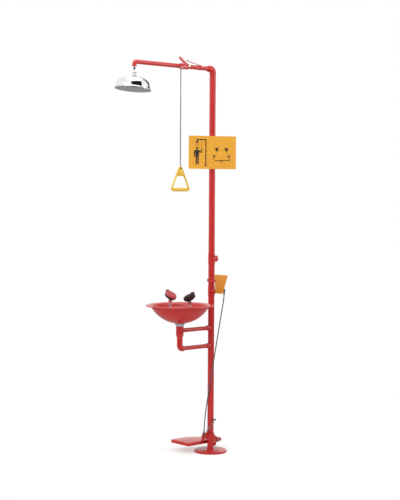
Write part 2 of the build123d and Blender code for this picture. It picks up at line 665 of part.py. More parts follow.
def treadle():
    low_z = treadle_top_z - treadle_skirt
    solid = extrude(fillet(make_face(Polyline(*treadle_outline, close=True)).vertices(), 7), treadle_skirt)
    hollow = offset(make_face(Polyline(*treadle_outline, close=True)), -treadle_t)
    pan = Pos(0, 0, low_z) * (solid - extrude(fillet(hollow.vertices(), 4.5), treadle_skirt - treadle_t))
    pan += Pos(treadle_rib_x, hinge_y, (low_z + treadle_top_z) / 2 - 1) * Box(3, 24, treadle_skirt - 3)
    pan -= rod((0, hinge_y, hinge_z), (treadle_rib_x - 3, hinge_y, hinge_z), hinge_pin_r + running_gap)
    keep("treadle_pan", pan)

    face = Plane(origin=(0, bracket_y, 0), x_dir=(1, 0, 0), z_dir=(0, -1, 0))
    x_low, x_high = bracket_x
    web = [
        (x_low, treadle_top_z), (-33, treadle_top_z), (x_high - 14, 88), (x_high, 104),
        (x_high, bracket_top), (-3, bracket_top), (-7, bracket_step_z), (-34, bracket_step_z), (x_low, 96),
    ]
    bracket = plate(web, bracket_t, face)
    for (x, z), r in ((spring_hole, 2.4), (cable_hole, 4.2)):
        bracket -= rod((x, bracket_y - 9, z), (x, bracket_y + 9, z), r)
    keep("treadle_bracket", bracket)

    low = (0, 0, clamp_z[0])
    high = (0, 0, clamp_z[1])
    clamp = rod(low, high, clamp_r, column_r)
    lug = Pos(hinge_arm_x / 2 - 5, 5, (clamp_z[0] + clamp_z[1]) / 2) * Box(
        -hinge_arm_x - 10, 26, clamp_z[1] - clamp_z[0]
    )
    arm_plane = Plane(origin=(hinge_arm_x, 0, 0), x_dir=(0, 1, 0), z_dir=(1, 0, 0))
    arm = plate(
        [(0, clamp_z[0]), (0, clamp_z[1]), (24, clamp_z[1]), (hinge_y + 12, 62),
         (hinge_y + 12, 43), (hinge_y - 12, 43), (34, clamp_z[0])], hinge_arm_t, arm_plane,
    )
    arm -= rod((-40, hinge_y, hinge_z), (20, hinge_y, hinge_z), hinge_pin_r)
    clamp += arm + (lug - rod(low, high, clamp_r - 1))
    screws = []
    for z in clamp_screw_z:
        clamp -= rod((0, 0, z), (40, 0, z), 3.0)
        screw = rod((column_r, 0, z), (clamp_r, 0, z), 3.0)
        screw += rod((clamp_r, 0, z), (clamp_r + 5, 0, z), 5.5)
        screws.append(screw)
    keep("treadle_clamp", clamp)
    ear = -column_r - 9
    bolt = rod((ear, -1.5, flag_stop_z), (ear, 1.5, flag_stop_z), 3.1)
    bolt += rod((ear, -6.5, flag_stop_z), (ear, -1.5, flag_stop_z), 5.5)
    bolt += rod((ear, 1.5, flag_stop_z), (ear, 6.5, flag_stop_z), 5.5)
    screws.append(bolt)
    keep("clamp_screws", Compound(screws))
    arm_face = hinge_arm_x + hinge_arm_t
    pin = rod((arm_face, hinge_y, hinge_z), (treadle_rib_x - 4, hinge_y, hinge_z), hinge_pin_r)
    pin += rod((arm_face, hinge_y, hinge_z), (arm_face + 4, hinge_y, hinge_z), hinge_pin_r + 3)
    keep("treadle_hinge_pin", pin)
    washer_end = treadle_outline[0][0] + body_gap
    washer_r = hinge_pin_r + 4
    washer = rod((washer_end, hinge_y, hinge_z), (hinge_arm_x, hinge_y, hinge_z), washer_r, hinge_pin_r)
    keep("hinge_washer", washer)

    stud = rod((column_r, 0, stud_z), (stud_x, 0, stud_z), 4.0)
    stud += rod((stud_x - 1, 0, stud_z), (stud_x + 2, 0, stud_z), 6.0)
    stud += rod((column_r - 3, 0, stud_z), (column_r + 3, 0, stud_z), 7.0)
    stud -= rod((0, 0, stud_z - 30), (0, 0, stud_z + 30), column_r)
    keep("spring_stud", stud)

    top = (spring_x, -5.0, stud_z - 8)
    low = (spring_hole[0], bracket_y - bracket_t - spring_r - 0.5, spring_hole[1] + 7)
    keep("return_spring", rod(top, low, spring_r))


def cable(lug_y, lug_z):
    route = [Vector(*p) for p in cable_route]
    radii = []
    for before, here, after in zip(route, route[1:], route[2:]):
        turn = (here - before).get_angle(after - here)
        shorter = min((here - before).length, (after - here).length)
        radii.append(0.45 * shorter / math.tan(math.radians(turn / 2)))
    print("cable radii", [round(r) for r in radii])
    path = FilletPolyline(*cable_route, radius=radii)
    line = sweep(Plane(origin=path @ 0, z_dir=path % 0) * Circle(cable_r), path)
    expected = math.pi * cable_r ** 2 * path.length
    print("cable length", round(path.length, 1), "volume ratio", round(line.volume / expected, 4))
    keep("treadle_cable", line)

    top = cable_route[0]
    upper = rod(top, (lug_x, lug_y, lug_z - 8), upper_ferrule_r)
    fork = Pos(lug_x, lug_y, lug_z - 1) * Box(9.4, 8, 16)
    fork -= Pos(lug_x, lug_y, lug_z + 1) * Box(4.6, 10, 18)
    upper += fork
    upper += rod((lug_x - 5.5, lug_y, lug_z), (lug_x + 5.5, lug_y, lug_z), 2.5)
    low = cable_route[-1]
    lower = rod(low, (low[0], low[1], cable_end_z), lower_ferrule_r)
    hook_x, hook_z = cable_hole
    lower += rod((hook_x, low[1], hook_z), (hook_x, bracket_y + 4.5, hook_z), 2.5)
    keep("cable_ends", Compound([upper - line, lower - line]))


base_and_column()
support_arms()
bowl_fittings(*bowl_group())
eyewash_group()
eyewash_seats, pivot = eyewash_valve()
flag_stop()
shower_arm(eyewash_seats)
shower_lever()
pull_rod()
shower_head()
sign()
treadle()
cable(*pivot)

os.makedirs("parts", exist_ok=True)
for name, shape in made.items():
    export_step(shape, os.path.join("parts", name + ".step"))
print(len(made), "parts")
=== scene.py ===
import json
import math
import bmesh
import bpy
from mathutils import Matrix, Vector


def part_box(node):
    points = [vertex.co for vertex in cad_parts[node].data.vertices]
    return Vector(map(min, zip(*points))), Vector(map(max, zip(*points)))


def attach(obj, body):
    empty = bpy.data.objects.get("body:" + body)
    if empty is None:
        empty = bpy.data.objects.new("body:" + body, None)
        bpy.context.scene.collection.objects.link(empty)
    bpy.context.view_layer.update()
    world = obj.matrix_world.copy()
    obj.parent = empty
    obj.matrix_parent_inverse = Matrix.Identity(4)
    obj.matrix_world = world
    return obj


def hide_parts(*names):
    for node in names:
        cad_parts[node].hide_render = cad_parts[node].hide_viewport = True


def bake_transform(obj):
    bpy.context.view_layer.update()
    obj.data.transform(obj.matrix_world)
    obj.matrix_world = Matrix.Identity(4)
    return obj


# Looks of the combination emergency shower and eyewash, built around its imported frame.
# Pieces are sized in mm; the camera, the lights, the cable's route and the materials are in metres.

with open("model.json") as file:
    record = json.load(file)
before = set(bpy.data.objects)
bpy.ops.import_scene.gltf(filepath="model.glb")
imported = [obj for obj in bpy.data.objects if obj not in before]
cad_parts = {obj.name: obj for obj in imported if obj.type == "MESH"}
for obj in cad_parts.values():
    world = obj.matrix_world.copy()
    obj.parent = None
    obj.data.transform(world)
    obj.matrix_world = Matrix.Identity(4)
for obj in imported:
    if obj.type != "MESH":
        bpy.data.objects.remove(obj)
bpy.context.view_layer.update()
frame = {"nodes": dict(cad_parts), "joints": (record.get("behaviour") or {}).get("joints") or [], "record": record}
mm = 0.001
print("frame loaded with", len(frame["nodes"]), "nodes")


# where a CAD node lies, in mm
def lowOf(cadName):
    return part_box(cadName)[0] / mm


def highOf(cadName):
    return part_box(cadName)[1] / mm


def midOf(cadName):
    return (lowOf(cadName) + highOf(cadName)) / 2


def radiusOf(cadName):
    return (highOf(cadName).x - lowOf(cadName).x) / 2


def pivotOf(jointName):
    # the point a joint turns about, in mm
    places = {joint["name"]: joint["pos_m"] for joint in frame["joints"]}
    return Vector(places[jointName]) / mm


def meshPiece(name, points, faces=(), edges=()):
    mesh = bpy.data.meshes.new(name)
    mesh.from_pydata([tuple(p) for p in points], [tuple(e) for e in edges], [tuple(f) for f in faces])
    mesh.update()
    return placed(name, mesh)


def placed(name, data):
    # an object at the origin that shows the given mesh, curve, light or camera
    piece = bpy.data.objects.new(name, data)
    bpy.context.scene.collection.objects.link(piece)
    return piece


def node(tree, kind, values=(), **settings):
    made = tree.nodes.new(kind)
    for key, value in settings.items():
        setattr(made, key, value)
    for socket, value in dict(values).items():
        made.inputs[socket].default_value = value
    return made


def startMaterial(name, fixed):
    material = bpy.data.materials.new(name)
    material.use_nodes = True
    tree = material.node_tree
    shader = tree.nodes["Principled BSDF"]
    for socket, value in fixed.items():
        shader.inputs[socket].default_value = value
    return material, tree, shader


# camera, light and floor; angles in degrees

cameraSetup = {"place": (5.3774, -4.9690, 1.5579), "pan": 47.804, "down": 2.672, "roll": 0.343,
               "lens": 88.13, "sensor": 36.0, "reach": 200.0}

lightSetup = {
    "surround": 0.80, "shine": 0.22,  # the room's brightness, and what polished parts see on top of it
    "softboxes": [
        # name, place, aims at, width, height, power
        ("keySoftbox", (0.6, -4.2, 3.4), (0, -0.2, 1.3), 2.6, 2.2, 85),
        ("topSoftbox", (0.4, -0.6, 4.6), (0, -0.2, 1.0), 3.0, 3.0, 60),
        ("rimSoftbox", (3.6, 2.6, 2.6), (0, 0, 1.2), 1.2, 2.6, 30),
    ],
}

# dark cards that only reflections show
cardSetup = {
    "tone": (0.012, 0.012, 0.014, 1), "roughness": 0.9,
    "cards": [
        # name, aims at, bearing, height angle, distance, width, height
        ("darkCardHigh", (0, -0.60, 2.16), 78, 36, 1.6, 1.9, 0.75),
        ("darkCardSide", (0, -0.60, 2.16), 176, 25, 1.8, 0.6, 1.6),
        ("darkCardNeck", (0, -0.60, 2.24), 30, 9, 2.2, 5.4, 1.10),
        ("darkCardFront", (0, -0.30, 1.25), 53, 0, 3.0, 2.4, 2.3),
        ("darkCardLeft", (0, -0.30, 1.25), 5, 0, 3.0, 2.2, 2.3),
        ("darkCardRight", (0, -0.30, 1.25), 101, 0, 3.0, 2.2, 2.3),
    ],
}

floorSetup = {
    "radius": 40.0, "sides": 64, "tone": (0.93, 0.93, 0.93, 1), "roughness": 0.85, "specular": 0.1,
    "shine": 0.42,  # how bright polished parts see the floor
    "nearRing": 0.1, "farRing": 1.6, "nearGlow": 0.45,  # glow hides the floor's shading further out
}


def makeCamera():
    data = bpy.data.cameras.new("viewCamera")
    data.lens = cameraSetup["lens"]
    data.sensor_width = cameraSetup["sensor"]
    data.clip_end = cameraSetup["reach"]
    camera = placed("viewCamera", data)
    pan = Matrix.Rotation(math.radians(cameraSetup["pan"]), 4, "Z")
    tip = Matrix.Rotation(math.radians(90 - cameraSetup["down"]), 4, "X")
    roll = Matrix.Rotation(math.radians(cameraSetup["roll"]), 4, "Z")
    camera.matrix_world = Matrix.Translation(cameraSetup["place"]) @ pan @ tip @ roll
    bpy.context.scene.camera = camera


def makeWorld():
    world = bpy.data.worlds.new("whiteRoom")
    bpy.context.scene.world = world
    world.use_nodes = True
    tree = world.node_tree
    tree.nodes.clear()
    link = tree.links.new
    white = (1, 1, 1, 1)
    rays = node(tree, "ShaderNodeLightPath")
    lift = node(tree, "ShaderNodeMath", {1: lightSetup["shine"], 2: lightSetup["surround"]},
                operation="MULTIPLY_ADD")
    room = node(tree, "ShaderNodeBackground", {"Color": white})
    paper = node(tree, "ShaderNodeBackground", {"Color": white, "Strength": 1.0})
    mix = node(tree, "ShaderNodeMixShader")
    out = node(tree, "ShaderNodeOutputWorld")
    link(rays.outputs["Is Glossy Ray"], lift.inputs[0])
    link(lift.outputs["Value"], room.inputs["Strength"])
    link(rays.outputs["Is Camera Ray"], mix.inputs["Fac"])
    link(room.outputs["Background"], mix.inputs[1])
    link(paper.outputs["Background"], mix.inputs[2])
    link(mix.outputs["Shader"], out.inputs["Surface"])


def aimed(place, target):
    look = (Vector(target) - Vector(place)).to_track_quat("-Z", "Y")
    return Matrix.Translation(place) @ look.to_matrix().to_4x4()


def makeSoftboxes():
    for name, place, target, width, height, power in lightSetup["softboxes"]:
        data = bpy.data.lights.new(name, "AREA")
        data.shape = "RECTANGLE"
        data.size = width
        data.size_y = height
        data.energy = power
        placed(name, data).matrix_world = aimed(place, target)


def makeCards():
    material = startMaterial("blackCard", {
        "Base Color": cardSetup["tone"], "Roughness": cardSetup["roughness"], "Specular IOR Level": 0.0})[0]
    for name, target, bearing, rise, distance, width, height in cardSetup["cards"]:
        turn, lift = math.radians(bearing), math.radians(rise)
        away = Vector((math.sin(turn) * math.cos(lift), -math.cos(turn) * math.cos(lift), math.sin(lift)))
        w, h = width / 2, height / 2
        card = meshPiece(name, [(-w, -h, 0), (w, -h, 0), (w, h, 0), (-w, h, 0)], faces=[(0, 1, 2, 3)])
        card.data.transform(aimed(Vector(target) + away * distance, target))
        card.data.materials.append(material)
        card.visible_camera = False
        card.visible_diffuse = False
        card.visible_shadow = False
        card.visible_transmission = False


def circle(radius, count, u=0.0, v=0.0, squash=1.0):
    turns = [2 * math.pi * i / count for i in range(count)]
    return [(u + radius * math.cos(turn), v + squash * radius * math.sin(turn)) for turn in turns]


def makeFloor():
    ring = [(x, y, 0) for x, y in circle(floorSetup["radius"], floorSetup["sides"])]
    floor = meshPiece("studioFloor", ring, faces=[range(len(ring))])
    material, tree, shader = startMaterial("paleFloor", {
        "Base Color": floorSetup["tone"], "Roughness": floorSetup["roughness"],
        "Specular IOR Level": floorSetup["specular"]})
    link = tree.links.new
    place = node(tree, "ShaderNodeTexCoord")
    length = node(tree, "ShaderNodeVectorMath", operation="LENGTH")
    fade = node(tree, "ShaderNodeMapRange", {
        "From Min": floorSetup["nearRing"], "From Max": floorSetup["farRing"],
        "To Min": floorSetup["nearGlow"]}, interpolation_type="SMOOTHSTEP")
    glow = node(tree, "ShaderNodeEmission", {"Strength": 1.0})
    lit = node(tree, "ShaderNodeMixShader")
    link(place.outputs["Object"], length.inputs[0])
    link(length.outputs["Value"], fade.inputs["Value"])
    link(fade.outputs["Result"], lit.inputs["Fac"])
    link(shader.outputs["BSDF"], lit.inputs[1])
    link(glow.outputs["Emission"], lit.inputs[2])
    # polished parts see a greyer floor than the view does
    rays = node(tree, "ShaderNodeLightPath")
    grey = node(tree, "ShaderNodeEmission", {"Strength": floorSetup["shine"]})
    seen = node(tree, "ShaderNodeMixShader")
    link(rays.outputs["Is Glossy Ray"], seen.inputs["Fac"])
    link(lit.outputs["Shader"], seen.inputs[1])
    link(grey.outputs["Emission"], seen.inputs[2])
    link(seen.outputs["Shader"], tree.nodes["Material Output"].inputs["Surface"])
    floor.data.materials.append(material)


makeCamera()
makeWorld()
makeSoftboxes()
makeCards()
makeFloor()
bpy.context.scene.view_settings.view_transform = "Standard"
print("camera, lights and floor ready")


# surface effects that several materials share


def newGroup(name, inputs, outputs):
    # inputs: (name, default); a number becomes a value socket, four numbers a colour socket
    group = bpy.data.node_groups.new(name, "ShaderNodeTree")
    for label, value in inputs:
        kind = "NodeSocketColor" if isinstance(value, tuple) else "NodeSocketFloat"
        socket = group.interface.new_socket(name=label, in_out="INPUT", socket_type=kind)
        socket.default_value = value
    for label, kind in outputs:
        group.interface.new_socket(name=label, in_out="OUTPUT", socket_type=kind)
    source = group.nodes.new("NodeGroupInput")
    sink = group.nodes.new("NodeGroupOutput")
    return group, source, sink


def objectNoise(group, scale, **values):
    # noise over the surface whose scale comes from one of the group's inputs
    place = node(group, "ShaderNodeTexCoord")
    noise = node(group, "ShaderNodeTexNoise", values)
    group.links.new(place.outputs["Object"], noise.inputs["Vector"])
    group.links.new(scale, noise.inputs["Scale"])
    return noise.outputs["Fac"]


def ramp(group, value, atNone, atFull):
    # 0 where value is atNone, 1 where it is atFull
    ranged = node(group, "ShaderNodeMapRange", {"From Min": atNone, "From Max": atFull})
    group.links.new(value, ranged.inputs["Value"])
    return ranged.outputs["Result"]


def product(group, a, b, clamped=False):
    times = node(group, "ShaderNodeMath", operation="MULTIPLY", use_clamp=clamped)
    group.links.new(a, times.inputs[0])
    group.links.new(b, times.inputs[1])
    return times.outputs["Value"]


def mixed(group, kind, a, b, factor):
    mix = node(group, "ShaderNodeMix", data_type=kind)
    group.links.new(factor, mix.inputs["Factor"])
    group.links.new(a, mix.inputs["A"])
    group.links.new(b, mix.inputs["B"])
    return mix.outputs["Result"]


def edgeWearGroup():
    # mask that is 1 on worn outer edges, broken up by noise
    group, source, sink = newGroup(
        "edgeWear", [("Radius", 0.0012), ("Amount", 0.5), ("Breakup", 220.0)], [("Mask", "NodeSocketFloat")])
    rounded = node(group, "ShaderNodeBevel", samples=4)
    flat = node(group, "ShaderNodeNewGeometry")
    facing = node(group, "ShaderNodeVectorMath", operation="DOT_PRODUCT")
    group.links.new(source.outputs["Radius"], rounded.inputs["Radius"])
    group.links.new(rounded.outputs["Normal"], facing.inputs[0])
    group.links.new(flat.outputs["Normal"], facing.inputs[1])
    turned = ramp(group, facing.outputs["Value"], 0.95, 0.78)
    noise = objectNoise(group, source.outputs["Breakup"], Detail=4.0, Roughness=0.6)
    patchy = product(group, turned, ramp(group, noise, 0.42, 0.62))
    group.links.new(product(group, patchy, source.outputs["Amount"], clamped=True), sink.inputs["Mask"])
    return group


def coatSkinGroup():
    # slow orange-peel swell of a sprayed or powdered coat, with a little fine grain
    group, source, sink = newGroup(
        "coatSkin", [("Swell", 160.0), ("Grain", 900.0), ("Grain Share", 0.25)],
        [("Height", "NodeSocketFloat")])
    swell = objectNoise(group, source.outputs["Swell"], Detail=1.0, Roughness=0.4)
    grain = objectNoise(group, source.outputs["Grain"], Detail=2.0, Roughness=0.5)
    group.links.new(mixed(group, "FLOAT", swell, grain, source.outputs["Grain Share"]), sink.inputs["Height"])
    return group


def toneDriftGroup():
    # a colour that drifts a little lighter and darker over the surface
    group, source, sink = newGroup(
        "toneDrift", [("Light", (1, 1, 1, 1)), ("Dark", (0.5, 0.5, 0.5, 1)), ("Size", 6.0), ("Fine", 60.0)],
        [("Color", "NodeSocketColor")])
    both = node(group, "ShaderNodeMath", operation="ADD")
    group.links.new(objectNoise(group, source.outputs["Size"], Detail=3.0), both.inputs[0])
    group.links.new(objectNoise(group, source.outputs["Fine"], Detail=3.0), both.inputs[1])
    drift = ramp(group, both.outputs["Value"], 0.75, 1.25)
    tone = mixed(group, "RGBA", source.outputs["Light"], source.outputs["Dark"], drift)
    group.links.new(tone, sink.inputs["Color"])
    return group


def dustFilmGroup():
    # thin dust on faces that look up
    group, source, sink = newGroup(
        "dustFilm", [("Amount", 0.2), ("Patches", 30.0)], [("Mask", "NodeSocketFloat")])
    flat = node(group, "ShaderNodeNewGeometry")
    parts = node(group, "ShaderNodeSeparateXYZ")
    group.links.new(flat.outputs["Normal"], parts.inputs["Vector"])
    upward = ramp(group, parts.outputs["Z"], 0.55, 1.0)
    noise = objectNoise(group, source.outputs["Patches"], Detail=5.0, Roughness=0.65)
    patchy = product(group, upward, ramp(group, noise, 0.35, 0.7))
    group.links.new(product(group, patchy, source.outputs["Amount"], clamped=True), sink.inputs["Mask"])
    return group


def smudgeGroup():
    # handling marks: a roughness that wanders between two values
    group, source, sink = newGroup(
        "smudge", [("Clean", 0.2), ("Marked", 0.35), ("Size", 25.0)], [("Roughness", "NodeSocketFloat")])
    noise = objectNoise(group, source.outputs["Size"], Detail=6.0, Roughness=0.7, Distortion=0.4)
    marks = ramp(group, noise, 0.4, 0.7)
    roughness = mixed(group, "FLOAT", source.outputs["Clean"], source.outputs["Marked"], marks)
    group.links.new(roughness, sink.inputs["Roughness"])
    return group


def drawnGrainGroup():
    # fine drawn or brushed lines, long along one direction
    group, source, sink = newGroup(
        "drawnGrain", [("Across", 900.0), ("Along X", 1.0), ("Along Y", 1.0), ("Along Z", 0.02)],
        [("Height", "NodeSocketFloat")])
    place = node(group, "ShaderNodeTexCoord")
    stretch = node(group, "ShaderNodeCombineXYZ")
    scaled = node(group, "ShaderNodeVectorMath", operation="MULTIPLY")
    noise = node(group, "ShaderNodeTexNoise", {"Detail": 3.0, "Roughness": 0.7})
    for label in "XYZ":
        group.links.new(source.outputs["Along " + label], stretch.inputs[label])
    group.links.new(place.outputs["Object"], scaled.inputs[0])
    group.links.new(stretch.outputs["Vector"], scaled.inputs[1])
    group.links.new(scaled.outputs["Vector"], noise.inputs["Vector"])
    group.links.new(source.outputs["Across"], noise.inputs["Scale"])
    group.links.new(noise.outputs["Fac"], sink.inputs["Height"])
    return group


edgeWear = edgeWearGroup()
coatSkin = coatSkinGroup()
toneDrift = toneDriftGroup()
dustFilm = dustFilmGroup()
smudge = smudgeGroup()
drawnGrain = drawnGrainGroup()


def useGroup(tree, group, values):
    made = tree.nodes.new("ShaderNodeGroup")
    made.node_tree = group
    for socket, value in values.items():
        made.inputs[socket].default_value = value
    return made


def blendColours(tree, below, above, mask):
    # below is a socket, above a colour laid over it through mask
    mix = node(tree, "ShaderNodeMix", data_type="RGBA")
    mix.inputs["B"].default_value = above
    tree.links.new(mask, mix.inputs["Factor"])
    tree.links.new(below, mix.inputs["A"])
    return mix.outputs["Result"]


def wornTone(tree, values):
    # a drifting colour that is rubbed lighter along the edges
    tone = useGroup(tree, toneDrift, {
        "Light": values["light"], "Dark": values["dark"],
        "Size": values["drift"], "Fine": values["fineDrift"]})
    wear = useGroup(tree, edgeWear, {
        "Radius": values["wearRadius"], "Amount": values["wear"], "Breakup": values["breakup"]})
    return blendColours(tree, tone.outputs["Color"], values["edge"], wear.outputs["Mask"])


def markedGloss(tree, shader, values):
    clean, marked = values["gloss"]
    marks = useGroup(tree, smudge, {"Clean": clean, "Marked": marked, "Size": values["marks"]})
    tree.links.new(marks.outputs["Roughness"], shader.inputs["Roughness"])


def bumped(tree, shader, height, values):
    bump = node(tree, "ShaderNodeBump", {"Strength": values["bump"], "Distance": values["relief"]})
    tree.links.new(height, bump.inputs["Height"])
    if values["softEdge"]:
        softEdge = node(tree, "ShaderNodeBevel", {"Radius": values["softEdge"]}, samples=4)
        tree.links.new(softEdge.outputs["Normal"], bump.inputs["Normal"])
    tree.links.new(bump.outputs["Normal"], shader.inputs["Normal"])


def skinnedSurface(name, values):
    # paint or plastic: rubbed at its edges, a little dusty on top, with a fine skin
    material, tree, shader = startMaterial(name, {
        "IOR": values["ior"], "Coat Weight": values["coat"], "Coat Roughness": values["coatRoughness"]})
    worn = wornTone(tree, values)
    dust = useGroup(tree, dustFilm, {"Amount": values["dust"], "Patches": values["dustPatches"]})
    dusty = blendColours(tree, worn, values["dustTone"], dust.outputs["Mask"])
    tree.links.new(dusty, shader.inputs["Base Color"])
    markedGloss(tree, shader, values)
    skin = useGroup(tree, coatSkin, {
        "Swell": values["swell"], "Grain": values["grain"], "Grain Share": values["grainShare"]})
    bumped(tree, shader, skin.outputs["Height"], values)
    return material


def platedMetal(name, values):
    # polished, plated or machined metal
    material, tree, shader = startMaterial(name, {"Metallic": 1.0})
    tree.links.new(wornTone(tree, values), shader.inputs["Base Color"])
    markedGloss(tree, shader, values)
    labels = ("Across", "Along X", "Along Y", "Along Z")
    lines = useGroup(tree, drawnGrain, dict(zip(labels, values["lines"])))
    bumped(tree, shader, lines.outputs["Height"], values)
    return material


# what the finishes of one family share; each finish below may set its own

coatFamily = {
    "ior": 1.5, "drift": 5.0, "fineDrift": 45.0, "wearRadius": 0.0012, "breakup": 260.0, "dustPatches": 26.0,
    "marks": 18.0, "grain": 1100.0, "grainShare": 0.2, "bump": 0.5, "softEdge": None}
metalFamily = {
    "drift": 14.0, "fineDrift": 90.0, "wearRadius": 0.0008, "breakup": 400.0, "bump": 0.5, "softEdge": 0.0005}
plasticFamily = {
    "ior": 1.47, "coat": 0.0, "coatRoughness": 0.03, "drift": 20.0, "fineDrift": 160.0, "wearRadius": 0.0008,
    "breakup": 500.0, "dustPatches": 60.0, "dustTone": (0.45, 0.43, 0.40, 1), "marks": 35.0,
    "swell": 500.0, "grain": 2600.0, "grainShare": 0.6, "bump": 0.5, "softEdge": 0.0006}

coatLooks = {
    "red_paint": {
        "light": (0.50, 0.016, 0.012, 1), "dark": (0.44, 0.012, 0.010, 1), "edge": (0.58, 0.05, 0.045, 1),
        "dustTone": (0.62, 0.22, 0.20, 1), "coat": 0.25, "coatRoughness": 0.10, "gloss": (0.24, 0.36),
        "wear": 0.10, "dust": 0.05, "swell": 170.0, "relief": 0.00002},
    "yellow_paint": {
        "light": (0.63, 0.235, 0.008, 1), "dark": (0.57, 0.20, 0.006, 1), "edge": (0.78, 0.38, 0.08, 1),
        "dustTone": (0.75, 0.5, 0.3, 1), "coat": 0.2, "coatRoughness": 0.15, "gloss": (0.30, 0.44),
        "wear": 0.4, "dust": 0.1, "swell": 200.0, "relief": 0.00004},
    "sign_face": {
        "light": (0.73, 0.345, 0.022, 1), "dark": (0.68, 0.31, 0.018, 1), "edge": (0.82, 0.52, 0.16, 1),
        "dustTone": (0.8, 0.6, 0.35, 1), "coat": 0.0, "coatRoughness": 0.2, "gloss": (0.36, 0.5),
        "wear": 0.25, "dust": 0.08, "swell": 120.0, "relief": 0.00002},
}
metalLooks = {
    "chrome": {
        "light": (0.86, 0.86, 0.88, 1), "dark": (0.80, 0.80, 0.825, 1), "edge": (0.86, 0.86, 0.87, 1),
        "gloss": (0.045, 0.10), "marks": 22.0, "wear": 0.2, "lines": (60.0, 1.0, 1.0, 1.0),
        "relief": 0.00002},
    "stainless": {
        "light": (0.50, 0.50, 0.51, 1), "dark": (0.42, 0.42, 0.43, 1), "edge": (0.78, 0.78, 0.78, 1),
        "gloss": (0.22, 0.34), "marks": 40.0, "wear": 0.35, "lines": (1400.0, 1.0, 1.0, 0.03),
        "relief": 0.000005},
    "zinc_steel": {
        "light": (0.42, 0.43, 0.44, 1), "dark": (0.33, 0.34, 0.34, 1), "edge": (0.72, 0.72, 0.72, 1),
        "gloss": (0.28, 0.45), "marks": 60.0, "wear": 0.4, "lines": (500.0, 1.0, 1.0, 0.3),
        "relief": 0.000008},
    "brass": {
        "light": (0.52, 0.38, 0.19, 1), "dark": (0.42, 0.30, 0.14, 1), "edge": (0.66, 0.52, 0.30, 1),
        "gloss": (0.18, 0.32), "marks": 45.0, "wear": 0.3, "lines": (900.0, 0.1, 1.0, 1.0),
        "relief": 0.000006},
}
plasticLooks = {
    "yellow_plastic": {
        "light": (0.74, 0.47, 0.055, 1), "dark": (0.68, 0.41, 0.040, 1), "edge": (0.86, 0.60, 0.16, 1),
        "gloss": (0.28, 0.42), "dust": 0.06, "wear": 0.3, "relief": 0.00008, "coat": 0.15},
    "black_plastic": {
        "light": (0.030, 0.029, 0.030, 1), "dark": (0.018, 0.017, 0.018, 1), "edge": (0.09, 0.09, 0.09, 1),
        "gloss": (0.32, 0.48), "dust": 0.12, "wear": 0.4, "relief": 0.00008},
    "red_plastic": {
        "light": (0.42, 0.016, 0.018, 1), "dark": (0.34, 0.010, 0.012, 1), "edge": (0.55, 0.08, 0.07, 1),
        "gloss": (0.24, 0.38), "dust": 0.10, "wear": 0.35, "relief": 0.00006, "coat": 0.2},
    "white_seal": {
        "light": (0.84, 0.84, 0.81, 1), "dark": (0.74, 0.74, 0.70, 1), "edge": (0.9, 0.9, 0.88, 1),
        "gloss": (0.4, 0.55), "dust": 0.05, "wear": 0.2, "relief": 0.00004},
    "rubber": {
        "light": (0.032, 0.032, 0.033, 1), "dark": (0.020, 0.020, 0.021, 1), "edge": (0.08, 0.08, 0.08, 1),
        "gloss": (0.6, 0.75), "dust": 0.2, "wear": 0.3, "relief": 0.0001},
    "cable_sheath": {
        "light": (0.085, 0.100, 0.105, 1), "dark": (0.055, 0.066, 0.070, 1), "edge": (0.16, 0.17, 0.17, 1),
        "gloss": (0.34, 0.5), "dust": 0.05, "wear": 0.3, "relief": 0.00006},
    "sign_ink": {
        "light": (0.045, 0.030, 0.018, 1), "dark": (0.03, 0.02, 0.012, 1), "edge": (0.10, 0.06, 0.03, 1),
        "gloss": (0.4, 0.55), "dust": 0.0, "wear": 0.15, "relief": 0.00002},
}

finishes = {}
for makeFinish, family, looks in (
        (skinnedSurface, coatFamily, coatLooks),
        (platedMetal, metalFamily, metalLooks),
        (skinnedSurface, plasticFamily, plasticLooks)):
    for finishName, look in looks.items():
        finishes[finishName] = makeFinish(finishName, {**family, **look})

for subpart in frame["record"]["subparts"]:
    cadPiece = frame["nodes"][subpart["node"]]
    cadPiece.data.materials.clear()
    cadPiece.data.materials.append(finishes[subpart["material_slot"]])
print("materials ready:", len(finishes))


# ways of making pieces


def addStep(piece, kind, **settings):
    step = piece.modifiers.new(kind.lower(), kind)
    for key, value in settings.items():
        setattr(step, key, value)
    return step


def bakeStack(piece, place=None, sharpAngle=35):
    # applies the stack and the place, and leaves a mesh whose object sits at the origin
    name = piece.name
    graph = bpy.context.evaluated_depsgraph_get()
    mesh = bpy.data.meshes.new_from_object(piece.evaluated_get(graph))
    bpy.data.objects.remove(piece)
    if place is not None:
        mesh.transform(place)
    shell = bmesh.new()
    shell.from_mesh(mesh)
    for edge in shell.edges:
        edge.smooth = edge.calc_face_angle(0.0) < math.radians(sharpAngle)
    for face in shell.faces:
        face.smooth = True
    shell.to_mesh(mesh)
    shell.free()
    mesh.name = name
    return placed(name, mesh)


def joined(name, pieces):
    # one mesh out of several finished ones
    shell = bmesh.new()
    for piece in pieces:
        shell.from_mesh(piece.data)
        bpy.data.objects.remove(piece)
    mesh = bpy.data.meshes.new(name)
    shell.to_mesh(mesh)
    shell.free()
    return placed(name, mesh)


def turnedPiece(name, profile, steps=64, soft=0.0, segments=3, ring=False):
    # profile: (radius, height) down the outside; a ring closes on itself
    points = [(r * mm, 0, z * mm) for r, z in profile]
    edges = [(i, i + 1) for i in range(len(points) - 1)]
    if ring:
        edges.append((len(points) - 1, 0))
    piece = meshPiece(name, points, edges=edges)
    if soft:
        addStep(piece, "BEVEL", affect="VERTICES", limit_method="NONE", width=soft * mm, segments=segments,
                use_clamp_overlap=True)
    addStep(piece, "SCREW", steps=steps, render_steps=steps, use_merge_vertices=True, merge_threshold=1e-6,
            use_smooth_shade=True)
    return piece


